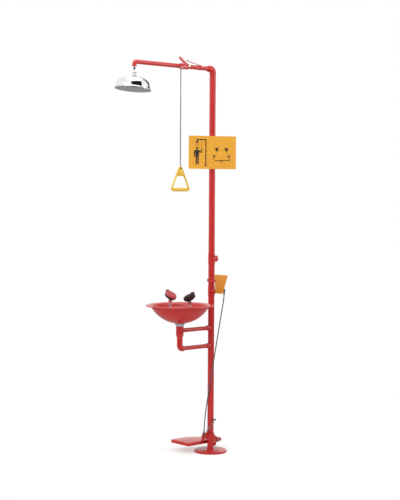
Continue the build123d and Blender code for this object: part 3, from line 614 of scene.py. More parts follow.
def sheetPiece(name, outline, seat, thickness, corner=0.0, edge=0.4):
    # flat sheet: outline on the seat's XY plane, counter-clockwise, thickness behind it
    points = [seat @ Vector((u * mm, v * mm, 0)) for u, v in outline]
    piece = meshPiece(name, points, faces=[range(len(points))])
    if corner:
        addStep(piece, "BEVEL", affect="VERTICES", limit_method="NONE", width=corner * mm, segments=5)
    addStep(piece, "SOLIDIFY", thickness=thickness * mm, offset=-1.0)
    addStep(piece, "BEVEL", limit_method="ANGLE", angle_limit=math.radians(40), width=edge * mm, segments=2,
            harden_normals=False)
    return piece


def tubePiece(name, points, radius, closed=False, fine=8, sides=4):
    # round bar or wire along a smooth line through the given control points
    curve = bpy.data.curves.new(name, "CURVE")
    curve.dimensions = "3D"
    curve.bevel_depth = radius * mm
    curve.bevel_resolution = sides
    curve.use_fill_caps = True
    spline = curve.splines.new("NURBS")
    spline.points.add(len(points) - 1)
    for point, at in zip(spline.points, points):
        point.co = (at[0] * mm, at[1] * mm, at[2] * mm, 1)
    spline.order_u = 3
    spline.resolution_u = fine
    spline.use_cyclic_u = closed
    spline.use_endpoint_u = not closed
    return placed(name, curve)


def hexPiece(name, across, height, chamfer=0.12):
    # six-sided bolt head or nut standing on its own origin, along +Z; chamfer is a share of its corner radius
    corner = across / math.sqrt(3)
    steepness = 0.55
    profile = [(0, height), (corner * (1 - chamfer), height), (corner, height - corner * chamfer * steepness),
               (corner, 0), (0, 0)]
    piece = turnedPiece(name, profile, steps=6)
    addStep(piece, "BEVEL", limit_method="ANGLE", angle_limit=math.radians(25), width=0.25 * mm, segments=2)
    return piece


def standing(at, axis=(0, 0, 1), spin=0.0):
    # a place whose +Z runs along axis
    turn = Vector(axis).to_track_quat("Z", "Y").to_matrix().to_4x4()
    return Matrix.Translation(Vector(at) * mm) @ turn @ Matrix.Rotation(math.radians(spin), 4, "Z")


def shifted(x, y, z):
    return Matrix.Translation(Vector((x, y, z)) * mm)


def facingX(x, y=0.0, z=0.0):
    # seat for an outline drawn as (y, z) that looks towards +X
    return Matrix(((0, 0, 1, x * mm), (1, 0, 0, y * mm), (0, 1, 0, z * mm), (0, 0, 0, 1)))


def facingFront(y):
    # seat for an outline drawn as (x, z) that looks towards -Y
    return Matrix(((1, 0, 0, 0), (0, 0, -1, y * mm), (0, 1, 0, 0), (0, 0, 0, 1)))


def counterClockwise(outline):
    area = sum(a[0] * b[1] - b[0] * a[1] for a, b in zip(outline, outline[1:] + outline[:1]))
    return outline if area > 0 else outline[::-1]


def rectangle(left, right, bottom, top):
    return [(left, bottom), (right, bottom), (right, top), (left, top)]


def ringSection(inner, outer, bottom, top):
    # profile of a disc or ring for turnedPiece: out along its top, then down its outside
    return rectangle(inner, outer, bottom, top)[::-1]


def finishPiece(piece, slotName, body, *cadNames, material=None):
    piece.data.materials.clear()
    piece.data.materials.append(finishes[material or slotName])
    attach(piece, body)
    if cadNames:
        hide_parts(*cadNames)
    return piece


# actuating cable

cableRun = {
    "points": [
        (0.1010, 0.0100, 0.955), (0.0986, 0.0096, 0.920), (0.0876, 0.0046, 0.860), (0.0053, -0.0286, 0.330),
        (-0.0046, -0.0336, 0.262), (-0.0116, -0.0370, 0.196), (-0.0148, -0.0385, 0.132)],
    "diameter": 0.0065, "length": 0.833,
}


def makeCable():
    points = [[c / mm for c in point] for point in cableRun["points"]]
    cable = tubePiece("actuating_cable", points, cableRun["diameter"] / 2 / mm, fine=24, sides=5)
    finishPiece(cable, "cable_sheath", "cable", "treadle_cable")


makeCable()
print("cable laid")


# bowl

bowlForm = {
    "wall": 2.0, "lipWidth": 27.0, "lipFall": 8.0, "floor": 30.0, "hole": 20.0,
    "edgeDrop": 9.0, "edgeRound": 2.2,
    # how far the lip's inner end and the dish's first point stand off their corner, out and up
    "lipEnd": (3.5, 0.8), "dishStart": (-2.0, -1.6),
    "curvePoints": 13, "steps": 96, "sharpAngle": 60,
}


def makeBowl():
    rim, top, mid = radiusOf("bowl"), highOf("bowl").z, midOf("bowl")
    wall, edgeRound, floor = bowlForm["wall"], bowlForm["edgeRound"], bowlForm["floor"]
    basin = rim - bowlForm["lipWidth"]
    shoulder = top - bowlForm["lipFall"]
    depth = shoulder - lowOf("bowl").z
    rise = (basin ** 2 - floor ** 2 - depth ** 2) / (2 * depth)
    dish = math.hypot(basin, rise)
    firstAngle, lastAngle = math.atan2(rise, basin), math.acos(floor / dish)
    # underside of the sheet, from the turned-down edge over the lip to the waste hole
    (lipOut, lipUp), (startOut, startUp) = bowlForm["lipEnd"], bowlForm["dishStart"]
    under = [(rim - wall, top - bowlForm["edgeDrop"]), (rim - wall, top - wall - edgeRound),
             (rim - wall - edgeRound, top - wall), (basin + lipOut, shoulder + lipUp)]
    arc = []
    for i in range(bowlForm["curvePoints"] + 1):
        angle = firstAngle + (lastAngle - firstAngle) * i / bowlForm["curvePoints"]
        arc.append((dish * math.cos(angle), shoulder + rise - dish * math.sin(angle)))
    arc[0] = (arc[0][0] + startOut, arc[0][1] + startUp)
    under += arc + [(bowlForm["hole"], shoulder - depth)]
    bowl = turnedPiece("bowl_shell", under, steps=bowlForm["steps"])
    addStep(bowl, "SOLIDIFY", thickness=wall * mm, offset=-1.0, use_even_offset=True)
    addStep(bowl, "SUBSURF", levels=1, render_levels=1)
    bowl = bakeStack(bowl, shifted(mid.x, mid.y, 0), sharpAngle=bowlForm["sharpAngle"])
    finishPiece(bowl, "red_paint", "stand", "bowl")


makeBowl()
print("bowl done")


# shower head; both profiles start from the centre of its ball

bellForm = {
    "lean": -6.0, "ballRise": 9.0, "wall": 1.5, "steps": 64, "sharpAngle": 60,
    "outside": [(9.0, -9.0), (15.5, -9.6), (17.0, -12.0), (24.0, -16.8), (38.0, -23.0), (50.0, -27.2),
                (61.0, -31.0), (71.0, -35.0), (79.0, -39.4), (85.5, -44.6), (91.0, -51.4), (95.8, -61.0),
                (99.0, -71.5), (101.0, -82.0), (101.8, -88.0), (103.6, -90.3), (104.4, -92.5),
                (104.4, -96.8)],
    "nut": [(0.0, 6.3), (9.4, 6.3), (11.6, 4.6), (12.9, 2.0), (12.9, -1.0), (11.9, -1.8), (11.9, -3.0),
            (12.9, -3.8), (12.9, -8.9), (0.0, -8.9)],
}


def makeShowerHead():
    mid = midOf("ball_nipple")
    place = shifted(mid.x, mid.y, lowOf("ball_nipple").z + bellForm["ballRise"])
    place = place @ Matrix.Rotation(math.radians(bellForm["lean"]), 4, "X")
    bell = turnedPiece("bell_shell", bellForm["outside"], steps=bellForm["steps"])
    addStep(bell, "SOLIDIFY", thickness=bellForm["wall"] * mm, offset=-1.0, use_even_offset=True)
    addStep(bell, "SUBSURF", levels=1, render_levels=1)
    bell = bakeStack(bell, place, sharpAngle=bellForm["sharpAngle"])
    finishPiece(bell, "chrome", "shower_head", "head_shell")

    nut = bakeStack(turnedPiece("ball_cap", bellForm["nut"], steps=48, soft=0.5), place)
    finishPiece(nut, "chrome", "shower_head", "swivel_nut")


makeShowerHead()
print("shower head done")


# eyewash nozzles and their dust covers; profiles start from the middle of a head

nozzleForm = {
    "tilt": 36.0, "headRise": 20.0, "flare": 15.0, "radius": 35.5, "thick": 19.0,
    "stem": [(0, -20.0), (14.4, -20.0), (15.0, -21.0), (15.0, -25.4), (14.0, -26.6), (8.2, -33.5),
             (7.0, -37.5), (7.0, -47.0), (8.4, -48.0), (8.4, -52.0), (7.0, -53.0), (7.0, -58.5), (9.9, -68.6),
             (0, -69.0)],
    "cup": [(32.5, 9.5), (35.5, 9.5), (35.5, 4.2), (34.7, 3.4), (34.7, 1.0), (35.5, 0.2), (35.5, -1.5),
            (23.5, -9.5), (9.0, -9.5), (8.0, -8.8), (8.0, -5.5), (32.5, 0.5)],
    "cupFloor": [(0, 0.5), (32.6, 2.2), (32.6, -0.2), (9.0, -6.5), (0, -6.5)],
    "neck": [(0, -6), (8, -6), (8, -20), (0, -20)],
    # grip ribs round the cup, none of them near the hinge
    "ribs": 24, "ribRadius": 0.8, "ribInset": 0.3, "ribTop": 1.5, "ribHeights": (2.5, -0.6), "hingeGap": 0.4,
    # ears seen from the front, from the hinge's axis
    "hingeOut": 5.0, "hingeUp": 2.5, "earThick": 4.2, "earOff": 8.8,
    "ear": [(-4.4, -3.6), (4.6, -9.0), (6.5, -9.0), (6.5, -2.2), (3.6, 3.4), (-1.5, 4.4), (-4.4, 2.0)],
}
coverForm = {
    "lid": [(0, 5.3), (20.0, 5.1), (32.0, 4.4), (35.3, 2.6), (35.3, 0.3), (33.5, 0.3), (31.5, 1.2), (0, 1.2)],
    "ridge": [(28.2, 5.3), (29.4, 5.7), (30.6, 5.2), (30.6, 3.6), (28.2, 3.6)],
    "strapBack": 2.0, "strapReach": 14.0, "strapLow": 0.5, "strapHigh": 4.9, "strapWidth": 11.6,
    "barrel": 4.1,
}


def nozzleSeat(side):
    centre = (side * (highOf("nozzle_stems").x - nozzleForm["flare"]), midOf("nozzle_stems").y,
              highOf("nozzle_stems").z + nozzleForm["headRise"])
    upright = shifted(*centre)
    seat = upright @ Matrix.Rotation(math.radians(-side * nozzleForm["tilt"]), 4, "Y")
    if side > 0:
        seat = seat @ Matrix.Rotation(math.pi, 4, "Z")
    return upright, seat


def nozzleStem(side):
    stem = turnedPiece("stem", nozzleForm["stem"], steps=40, soft=0.5)
    return bakeStack(stem, nozzleSeat(side)[0])


def nozzleHead(side):
    # cup, grip ribs round its edge and two hinge ears
    upright, seat = nozzleSeat(side)
    radius, half = nozzleForm["radius"], nozzleForm["thick"] / 2
    pieces = [bakeStack(turnedPiece("cup", nozzleForm["cup"], steps=56, soft=0.4, ring=True), seat),
              bakeStack(turnedPiece("cupFloor", nozzleForm["cupFloor"], steps=56), seat),
              bakeStack(turnedPiece("neck", nozzleForm["neck"], steps=32, soft=0.6), upright)]
    for i in range(nozzleForm["ribs"]):
        bearing = 2 * math.pi * i / nozzleForm["ribs"]
        if abs(math.pi - bearing) < nozzleForm["hingeGap"]:
            continue
        heights = (half - nozzleForm["ribTop"],) + nozzleForm["ribHeights"]
        points = [(radius - nozzleForm["ribInset"], 0, height) for height in heights]
        rib = tubePiece("rib", points, nozzleForm["ribRadius"], fine=2, sides=1)
        pieces.append(bakeStack(rib, seat @ Matrix.Rotation(bearing, 4, "Z")))
    hingeX, hingeZ = -radius - nozzleForm["hingeOut"], half + nozzleForm["hingeUp"]
    outline = [(hingeX + u, hingeZ + v) for u, v in nozzleForm["ear"]]
    for end in (-1, 1):
        face = facingFront(end * nozzleForm["earOff"] - nozzleForm["earThick"] / 2)
        ear = sheetPiece("ear", outline, face, nozzleForm["earThick"], corner=1.2, edge=0.5)
        pieces.append(bakeStack(ear, seat))
    return pieces


def dustCover(side):
    # lid with a ridge, a strap and the barrel it turns on
    half = nozzleForm["thick"] / 2
    hingeX = -nozzleForm["radius"] - nozzleForm["hingeOut"]
    seat = nozzleSeat(side)[1] @ shifted(0, 0, half)
    lid = bakeStack(turnedPiece("lid", coverForm["lid"], steps=56, soft=0.4), seat)
    width = coverForm["strapWidth"]
    outline = rectangle(hingeX - coverForm["strapBack"], hingeX + coverForm["strapReach"],
                    coverForm["strapLow"], coverForm["strapHigh"])
    strap = bakeStack(sheetPiece("strap", outline, facingFront(-width / 2), width, edge=0.6), seat)
    radius = coverForm["barrel"]
    profile = ringSection(0, radius, -width / 2, width / 2)
    onSide = shifted(hingeX, 0, nozzleForm["hingeUp"]) @ Matrix.Rotation(math.radians(90), 4, "X")
    barrel = bakeStack(turnedPiece("barrel", profile, steps=28, soft=0.5), seat @ onSide)
    ridge = bakeStack(turnedPiece("ridge", coverForm["ridge"], steps=56, ring=True), seat)
    return [lid, strap, barrel, ridge]


def makeNozzles():
    stems = joined("nozzle_necks", [nozzleStem(side) for side in (-1, 1)])
    finishPiece(stems, "chrome", "stand", "nozzle_stems")
    heads = joined("nozzle_cups", nozzleHead(-1) + nozzleHead(1))
    finishPiece(heads, "black_plastic", "stand", "nozzle_heads")
    for side, hand in ((-1, "left"), (1, "right")):
        cover = joined("dust_lid_" + hand, dustCover(side))
        finishPiece(cover, "red_plastic", hand + "_cover", "dust_cover_" + hand)


makeNozzles()
print("eyewash nozzles done")


# pull handle

handleForm = {
    "leg": 5.5, "grip": 11.5, "apex": 7.0, "apexHalf": 6.0, "legTop": 6.5, "topBend": 8.0, "topLead": 14.0,
    "lowLead": 26.0, "gripLead": 22.0, "cornerDrop": 0.35,
    "sleeve": 54.0, "sleeveEnd": 3.5, "sleeveInset": 0.4, "ribs": 9, "ribDepth": 1.1, "ribMargin": 7.0,
    "web": 44.0, "webThick": 8.0, "webTop": 4.0, "webTopHalf": 9.5, "webOverlap": 2.0,
    "eye": 5.3, "boss": 10.3, "bossHalf": 4.6,
}


def handleBail(x, y, pivot, grip, half):
    # closed triangle of round bar: down one leg, round its lower corner, and back up the other
    leg, lead = handleForm["leg"], handleForm["topLead"]
    top = pivot + handleForm["apex"]
    corner = Vector((half, grip - (handleForm["grip"] - leg) * handleForm["cornerDrop"]))
    slope = Vector((half - handleForm["apexHalf"], grip - top)).normalized()
    lowLead = corner - slope * handleForm["lowLead"]
    leads = [(handleForm["legTop"], top), (handleForm["topBend"] + slope.x * lead, top + slope.y * lead),
             tuple(lowLead), tuple(corner), (corner.x - handleForm["gripLead"], corner.y)]
    loop = leads + [(-u, v) for u, v in leads[::-1]]
    points = [(x, y + u, v) for u, v in loop]
    return bakeStack(tubePiece("bail", points, leg, closed=True, fine=10, sides=5))


def handleSleeve(x, y, grip):
    # ribbed grip round the bail's lower bar
    end, inset = handleForm["sleeveEnd"], handleForm["sleeveInset"]
    length, radius, margin = handleForm["sleeve"], handleForm["grip"], handleForm["ribMargin"]
    profile = [(0, length), (radius - end, length), (radius - inset, length - end)]
    pitch = (2 * length - 2 * margin) / handleForm["ribs"]
    for i in range(handleForm["ribs"]):
        start = length - margin - i * pitch
        profile.append((radius - inset, start))
        profile.append((radius - handleForm["ribDepth"] - inset, start - pitch / 2))
    profile += [(radius - inset, -length + margin), (radius - inset, -length + end), (radius - end, -length),
                (0, -length)]
    return bakeStack(turnedPiece("sleeve", profile, steps=40, soft=1.2), standing((x, y, grip), (0, 1, 0)))


def makePullHandle():
    low, high, mid = lowOf("pull_handle"), highOf("pull_handle"), midOf("pull_handle")
    x, y, pivot = mid.x, mid.y, pivotOf("pull_handle_swing").z
    grip = low.z + handleForm["grip"]
    half = (high.y - low.y) / 2 - handleForm["leg"]
    bail = handleBail(x, y, pivot, grip, half)
    grooved = handleSleeve(x, y, grip)

    depth, topHalf = handleForm["web"], handleForm["webTopHalf"]
    lowHalf = half * depth / (pivot - grip) + handleForm["webOverlap"]
    outline = [(-lowHalf, -depth), (lowHalf, -depth), (topHalf, -handleForm["webTop"]),
               (-topHalf, -handleForm["webTop"])]
    thick = handleForm["webThick"]
    panel = sheetPiece("panel", outline, facingX(x + thick / 2, y, pivot), thick, corner=3.0, edge=1.4)
    panel = bakeStack(panel)
    ring = ringSection(handleForm["eye"], handleForm["boss"], -handleForm["bossHalf"], handleForm["bossHalf"])
    boss = turnedPiece("boss", ring, steps=40, soft=1.2, ring=True)
    boss = bakeStack(boss, standing((x, y, pivot), (1, 0, 0)))
    finishPiece(joined("pull_bail", [bail, panel, boss]), "yellow_plastic", "pull_handle", "pull_handle")
    finishPiece(joined("pull_grip", [grooved]), "yellow_plastic", "pull_handle")


makePullHandle()
print("pull handle done")


# shower lever

leverForm = {"thick": 4.0, "rise": 35.0, "length": 80.0, "root": 9.5, "rootLength": 14.0, "tip": 6.5,
             "hub": 11.0, "bore": 4.6, "hubProud": 0.4}


def makeShowerLever():
    face = highOf("shower_lever").x
    hubY, hubZ = midOf("lever_stem").y, midOf("lever_stem").z
    rise = math.radians(leverForm["rise"])
    along = Vector((-math.cos(rise), math.sin(rise)))
    across = Vector((-along.y, along.x))
    hub = Vector((hubY, hubZ))
    tip = hub + along * leverForm["length"]
    rootEnd = along * leverForm["rootLength"]
    root, end, thick = across * leverForm["root"], across * leverForm["tip"], leverForm["thick"]
    outline = [hub - root, hub - root + rootEnd, tip - end, tip + end, hub + root + rootEnd, hub + root]
    outline = counterClockwise([tuple(p) for p in outline])
    blade = bakeStack(sheetPiece("blade", outline, facingX(face), thick, corner=4.0, edge=0.7))
    ring = ringSection(leverForm["bore"], leverForm["hub"], -thick, leverForm["hubProud"])
    hubDisc = turnedPiece("hub", ring, steps=40, soft=0.5, ring=True)
    hubDisc = bakeStack(hubDisc, standing((face, hubY, hubZ), (1, 0, 0)))
    finishPiece(joined("lever_blade", [blade, hubDisc]), "red_paint", "shower_lever", "shower_lever")


makeShowerLever()
print("shower lever done")


# push flag

flagForm = {"thick": 2.5, "leftIn": 10.0, "rightIn": 45.0, "corner": 7.0, "tabHigh": 22.0, "tabX": 57.0,
            "tabBack": 9.0, "tabThick": 4.0, "lugX": 101.0, "lugRound": 6.8, "letIn": 0.6}


def makePushFlag():
    low, high = lowOf("push_flag"), highOf("push_flag")
    outline = [(low.x + flagForm["leftIn"], low.z), (high.x - flagForm["rightIn"], low.z), (high.x, high.z),
               (low.x, high.z)]
    thick = flagForm["thick"]
    face = sheetPiece("face", outline, facingFront(low.y), thick, corner=flagForm["corner"], edge=0.7)
    pieces = [bakeStack(face)]
    # the tab on the stem and the cable's lug, both let into the sheet
    start = low.y + thick * flagForm["letIn"]
    stemZ, tabHalf = midOf("flag_stem").z, flagForm["tabHigh"] / 2
    tab = rectangle(start, flagForm["tabBack"], stemZ - tabHalf, stemZ + tabHalf)
    pivot, r = pivotOf("cable_pivot"), flagForm["lugRound"]
    lugY, lugZ, slant = pivot.y, pivot.z, r * 0.7
    lug = [(start, lugZ - r), (lugY, lugZ - r), (lugY + slant, lugZ - slant), (lugY + r, lugZ),
           (lugY + slant, lugZ + slant), (lugY, lugZ + r), (start, lugZ + r)]
    thick = flagForm["tabThick"]
    for outline, x, corner in ((tab, flagForm["tabX"], 2.5), (lug, flagForm["lugX"], 1.2)):
        rib = sheetPiece("tab", outline, facingX(x + thick / 2), thick, corner=corner, edge=0.6)
        pieces.append(bakeStack(rib))
    finishPiece(joined("flag_plate", pieces), "yellow_paint", "push_flag", "push_flag")


makePushFlag()
print("push flag done")


# sign

signForm = {"shift": -6.0, "width": 292.0, "height": 196.0, "thick": 2.0, "turn": 63.0, "off": 26.0,
            "corner": 5.0, "ink": 0.25, "inkSunk": 0.1}


def signSeat(shift):
    # sign frame: X along the plate, Y up, Z out of its printed face
    turn = Matrix.Rotation(math.radians(signForm["turn"]), 4, "Z")
    face = facingFront(-signForm["off"] - signForm["thick"] / 2)
    return shifted(0, 0, midOf("sign_plate").z) @ turn @ face @ shifted(shift, 0, 0)


def stroke(start, end, width):
    # straight band between two points
    a, b = Vector(start), Vector(end)
    along = (b - a).normalized()
    side = Vector((-along.y, along.x)) * width / 2
    return [tuple(p) for p in (a - side, b - side, b + side, a + side)]


def showerPictogram():
    # a person under a shower, pulling its chain; drawn from the plate's centre
    shapes = [
        stroke((-41, -76), (-41, 76), 6.5), stroke((-37.8, 76), (-97, 76), 6.0),  # pipe and its arm
        stroke((-33, -78), (-49, -78), 4.5),  # foot of the pipe
        [(-104, 57), (-84, 57), (-92, 73), (-96, 73)],  # shower head
        circle(7.2, 20, -94, 25),
        [(-104, -25), (-84, -25), (-80, 12), (-84, 15.5), (-104, 15.5), (-108, 12)],
        [(-104, -72), (-96, -72), (-94.8, -23), (-103.8, -23)],
        [(-92, -72), (-84, -72), (-84.2, -23), (-93.2, -23)],
        stroke((-110.5, 10.5), (-112, -28), 7.0), stroke((-84, 10), (-68, -2), 6.5),  # arms
        stroke((-68.5, -4), (-67, 23), 6.0),
        stroke((-67, 20), (-67, 73), 1.6),  # chain
    ]
    for i in range(4):  # falling water
        shapes.append(stroke((-103 + 6 * i, 53), (-105.5 + 7.6 * i, 37), 1.3))
    return shapes


def eyewashPictogram():
    # two eyes over a pair of nozzles on one pipe; drawn from the plate's centre
    shapes = []
    halfTurn = [math.pi * i / 10 for i in range(11)]
    for u in (26.0, 86.0):
        lid = [(u - 17 * math.cos(a), 21 + 7.5 * math.sin(a)) for a in halfTurn]
        lower = [(u + 14.5 * math.cos(a), 20.5 + 3.6 * math.sin(a)) for a in halfTurn]
        shapes.append(lid[::-1] + lower[::-1])
        shapes.append(circle(8.2, 20, u, 16))
        shapes.append(stroke((u - 11, 9), (u + 11, 9), 1.8))
    for side in (-1, 1):
        u = 56 + side * 46
        head = [(u - side * 4, -30), (u + side * 9, -18), (u + side * 3, -15), (u - side * 11, -23)]
        shapes.append(head[::side])
        shapes.append(stroke((u + side * 4, -24), (u + side * 4, -47), 3.6))
        shapes.append(stroke((u - side * 7, -17), (u - side * 17, 2), 1.3))
    shapes.append(stroke((4, -47), (108, -47), 4.0))
    shapes.append([(51, -47), (61, -47), (58, -60), (54, -60)])
    return shapes


def makeSign():
    seat = signSeat(signForm["shift"])
    w, h = signForm["width"] / 2, signForm["height"] / 2
    plate = sheetPiece("sign_board", rectangle(-w, w, -h, h), seat, signForm["thick"],
                       corner=signForm["corner"], edge=0.5)
    finishPiece(plate, "sign_face", "stand", "sign_plate")

    points, faces = [], []
    for shape in showerPictogram() + eyewashPictogram():
        outline = counterClockwise([tuple(p) for p in shape])
        start = len(points)
        points += [seat @ Vector((u * mm, v * mm, signForm["ink"] * mm)) for u, v in outline]
        faces.append(range(start, len(points)))
    ink = meshPiece("sign_symbols", points, faces=faces)
    addStep(ink, "SOLIDIFY", thickness=(signForm["ink"] + signForm["inkSunk"]) * mm, offset=-1.0)
    finishPiece(ink, "sign_face", "stand", material="sign_ink")


makeSign()
print("sign done")


# foot treadle

panForm = {"thick": 2.5, "fold": 4.0, "noseX": -85.0, "cutY": -38.0,
           "ribX": -98.0, "ribThick": 3.0, "ribHalf": 12.0, "ribLow": 1.0, "ribTop": 2.0, "ribCorner": 3.0}


def makeTreadle():
    low, high = lowOf("treadle_pan"), highOf("treadle_pan")
    outline = [(high.x, low.y), (high.x, high.y), (panForm["noseX"], high.y), (low.x, panForm["cutY"]),
               (low.x, low.y)]
    count = len(outline)
    points = [(u * mm, v * mm, z * mm) for z in (high.z, low.z) for u, v in outline]
    sides = [(i + count, (i + 1) % count + count, (i + 1) % count, i) for i in range(count)]
    pan = meshPiece("treadle_tray", points, faces=[tuple(range(count))] + sides)
    addStep(pan, "BEVEL", limit_method="ANGLE", angle_limit=math.radians(20), width=panForm["fold"] * mm,
            segments=4)
    addStep(pan, "SOLIDIFY", thickness=panForm["thick"] * mm, offset=-1.0, use_even_offset=True)
    pan = bakeStack(pan, sharpAngle=50)
    hingeY, half, thick = midOf("treadle_hinge_pin").y, panForm["ribHalf"], panForm["ribThick"]
    rib = rectangle(hingeY - half, hingeY + half, low.z + panForm["ribLow"], high.z - panForm["ribTop"])
    seat = facingX(panForm["ribX"] + thick / 2)
    rib = sheetPiece("hingeRib", rib, seat, thick, corner=panForm["ribCorner"])
    finishPiece(joined("treadle_plate", [pan, bakeStack(rib)]), "red_paint", "treadle", "treadle_pan")


makeTreadle()
print("treadle done")


# return spring: hooked over a stud on the column and through a hole in the treadle's bracket

springForm = {
    "turns": 15, "perTurn": 10, "wire": 1.0, "radius": 5.6,
    "opened": 1.06,  # the coil's control line runs a little inside its points
    "studX": 37.0, "coilTop": (-5.5, -11.0), "plateX": 5.0, "holeZ": 120.0, "coilFoot": (-7.5, 10.0),
    # hooks seen from the side, as (y, z) from the stud and from the hole
    "studHook": [(5.4, -1.0), (4.4, 4.4), (-1.5, 6.2), (-6.0, 1.5), (-6.2, -5.0)],
    "plateHook": [(-7.5, 5.0), (-5.0, -0.8), (0.0, -1.2), (4.5, -0.4), (5.5, 5.0)],
}


def makeSpring():
    studX, studZ = springForm["studX"], midOf("spring_stud").z
    plateX, holeY, holeZ = springForm["plateX"], midOf("treadle_bracket").y, springForm["holeZ"]
    topY, topZ = springForm["coilTop"]
    footY, footZ = springForm["coilFoot"]
    top = Vector((studX, topY, studZ + topZ))
    foot = Vector((plateX, holeY + footY, holeZ + footZ))
    length = (foot - top).length
    axis = (foot - top).normalized()
    side = axis.cross(Vector((1, 0, 0))).normalized()
    other = axis.cross(side)
    radius = springForm["radius"] * springForm["opened"]
    points = [(studX, y, studZ + z) for y, z in springForm["studHook"]]
    count = springForm["turns"] * springForm["perTurn"]
    for i in range(count + 1):
        angle = 2 * math.pi * i / springForm["perTurn"]
        at = top + axis * (length * i / count) + (side * math.cos(angle) + other * math.sin(angle)) * radius
        points.append(tuple(at))
    points += [(plateX, holeY + y, holeZ + z) for y, z in springForm["plateHook"]]
    spring = bakeStack(tubePiece("coil_spring", points, springForm["wire"], fine=3, sides=2), sharpAngle=80)
    spring.data.materials.clear()
    spring.data.materials.append(finishes["stainless"])
    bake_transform(spring)
    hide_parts("return_spring")


makeSpring()
print("spring done")


# pipework trim: weld beads, bands on the fittings, and the open threads

trimForm = {
    "arm": 12.5, "armStart": -33.0, "armWeld": 2.0, "columnWeld": 3.2, "sleeveWeld": 2.4, "sleeveGap": 0.2,
    "stud": 6.6, "studStart": 22.0, "studWeld": 1.4,
    "weldSunk": 0.3, "weldBelly": (0.45, 0.62), "weldWave": 0.5, "weldRipple": 4.0,
    "bandWidth": 6.0, "bandSunk": 0.5, "bandIn": 3.2,
    "branch": 18.5, "outlet": 19.5, "showerValve": 16.5, "eyeValve": 20.5,
    "drop": 12.3, "dropBandWidth": 5.0, "dropBandIn": 3.0,
    # where the top elbow narrows to the arm: its outside up to the elbow's own radius
    "reducerStart": -34.0, "reducerBore": 15.6, "reducerBack": -1.5,
    "reducerNose": [(16.6, 6.5), (17.4, 4.5)],
}
threadForm = {"pitch": 2.31, "depth": 1.0, "radius": 15.15, "sunk": 0.15, "crest": 0.45, "root": 0.9,
              # where each thread starts, back from its mouth, and how long it is
              "inlet": (16.5, 14.5), "outlet": (11.5, 9.5)}


def weldBead(name, at, axis, radius, size):
    # fillet of weld round a pipe, under the paint
    sunk, (bellyOut, bellyUp) = trimForm["weldSunk"], trimForm["weldBelly"]
    profile = [(radius - sunk, size), (radius + size * bellyOut, size * bellyUp), (radius + size, -sunk),
               (radius - sunk, -sunk)]
    bead = turnedPiece(name, profile, steps=72, soft=0.5, segments=2, ring=True)
    cloud = bpy.data.textures.new(name, "CLOUDS")
    cloud.noise_scale = trimForm["weldRipple"] * mm
    addStep(bead, "DISPLACE", texture=cloud, strength=trimForm["weldWave"] * mm, mid_level=0.5,
            texture_coords="LOCAL")
    return bakeStack(bead, standing(at, axis), sharpAngle=70)


def pipeBand(at, axis, radius, rise, width=trimForm["bandWidth"]):
    # raised band on the end of a cast fitting, let into it a little
    profile = ringSection(radius - trimForm["bandSunk"], radius + rise, -width / 2, width / 2)
    return bakeStack(turnedPiece("band", profile, steps=64, soft=0.8, ring=True), standing(at, axis))


def makeWelds():
    up, arm = (0, 0, 1), trimForm["arm"]
    beads = [weldBead("columnBead", (0, 0, highOf("base_flange").z), up, radiusOf("lower_column"),
                      trimForm["columnWeld"])]
    for pipe in ("drain_arm", "supply_arm"):
        start = (0, trimForm["armStart"], midOf(pipe).z)
        beads.append(weldBead(pipe + "Bead", start, (0, -1, 0), arm, trimForm["armWeld"]))
    sleeveEnd = (0, highOf("manifold_sleeve").y + trimForm["sleeveGap"], midOf("supply_arm").z)
    beads.append(weldBead("sleeveBead", sleeveEnd, (0, 1, 0), arm, trimForm["sleeveWeld"]))
    studStart = (trimForm["studStart"], 0, midOf("spring_stud").z)
    beads.append(weldBead("studBead", studStart, (1, 0, 0), trimForm["stud"], trimForm["studWeld"]))
    finishPiece(joined("weld_beads", beads), "red_paint", "stand")


def makeBands():
    up, back, margin = (0, 0, 1), (0, 1, 0), trimForm["bandIn"]
    armZ = midOf("shower_arm_rear").z
    teeLow, teeHigh, teeR = lowOf("inlet_tee"), highOf("inlet_tee"), radiusOf("inlet_tee")
    bands = [pipeBand((0, 0, teeLow.z + margin), up, teeR, 0.8),
             pipeBand((0, 0, teeHigh.z - margin), up, teeR, 0.8),
             pipeBand((0, teeHigh.y - margin, midOf("inlet_tee").z), back, trimForm["branch"], 0.8)]
    elbowR = radiusOf("top_elbow")
    bands.append(pipeBand((0, 0, lowOf("top_elbow").z + margin), up, elbowR, 0.6))
    bore, nose, end = trimForm["reducerBore"], trimForm["reducerNose"], trimForm["reducerBack"]
    reducer = [(bore, nose[0][1])] + nose + [(elbowR - 0.1, 0.2), (elbowR - 0.1, end), (bore, end)]
    reducer = turnedPiece("reducer", reducer, steps=64, soft=0.8, ring=True)
    bands.append(bakeStack(reducer, standing((0, trimForm["reducerStart"], armZ), (0, -1, 0))))
    outletEnd = (0, highOf("waste_outlet").y - margin, midOf("waste_outlet").z)
    bands.append(pipeBand(outletEnd, back, trimForm["outlet"], 1.3))
    for y in (lowOf("shower_valve_body").y + margin, highOf("shower_valve_body").y - margin):
        bands.append(pipeBand((0, y, armZ), back, trimForm["showerValve"], 1.0))
    for z in (lowOf("eyewash_valve_body").z + margin, highOf("eyewash_valve_body").z - margin):
        bands.append(pipeBand((0, 0, z), up, trimForm["eyeValve"], 1.0))
    drop, margin, width = trimForm["drop"], trimForm["dropBandIn"], trimForm["dropBandWidth"]
    bands.append(pipeBand((0, midOf("ball_nipple").y, lowOf("drop_elbow").z + margin), up, drop, 1.4, width))
    bands.append(pipeBand((0, highOf("drop_elbow").y - margin, armZ), back, drop, 1.4, width))
    finishPiece(joined("fitting_bands", bands), "red_paint", "stand")


makeWelds()
makeBands()
print("pipe trim done")


# bolts

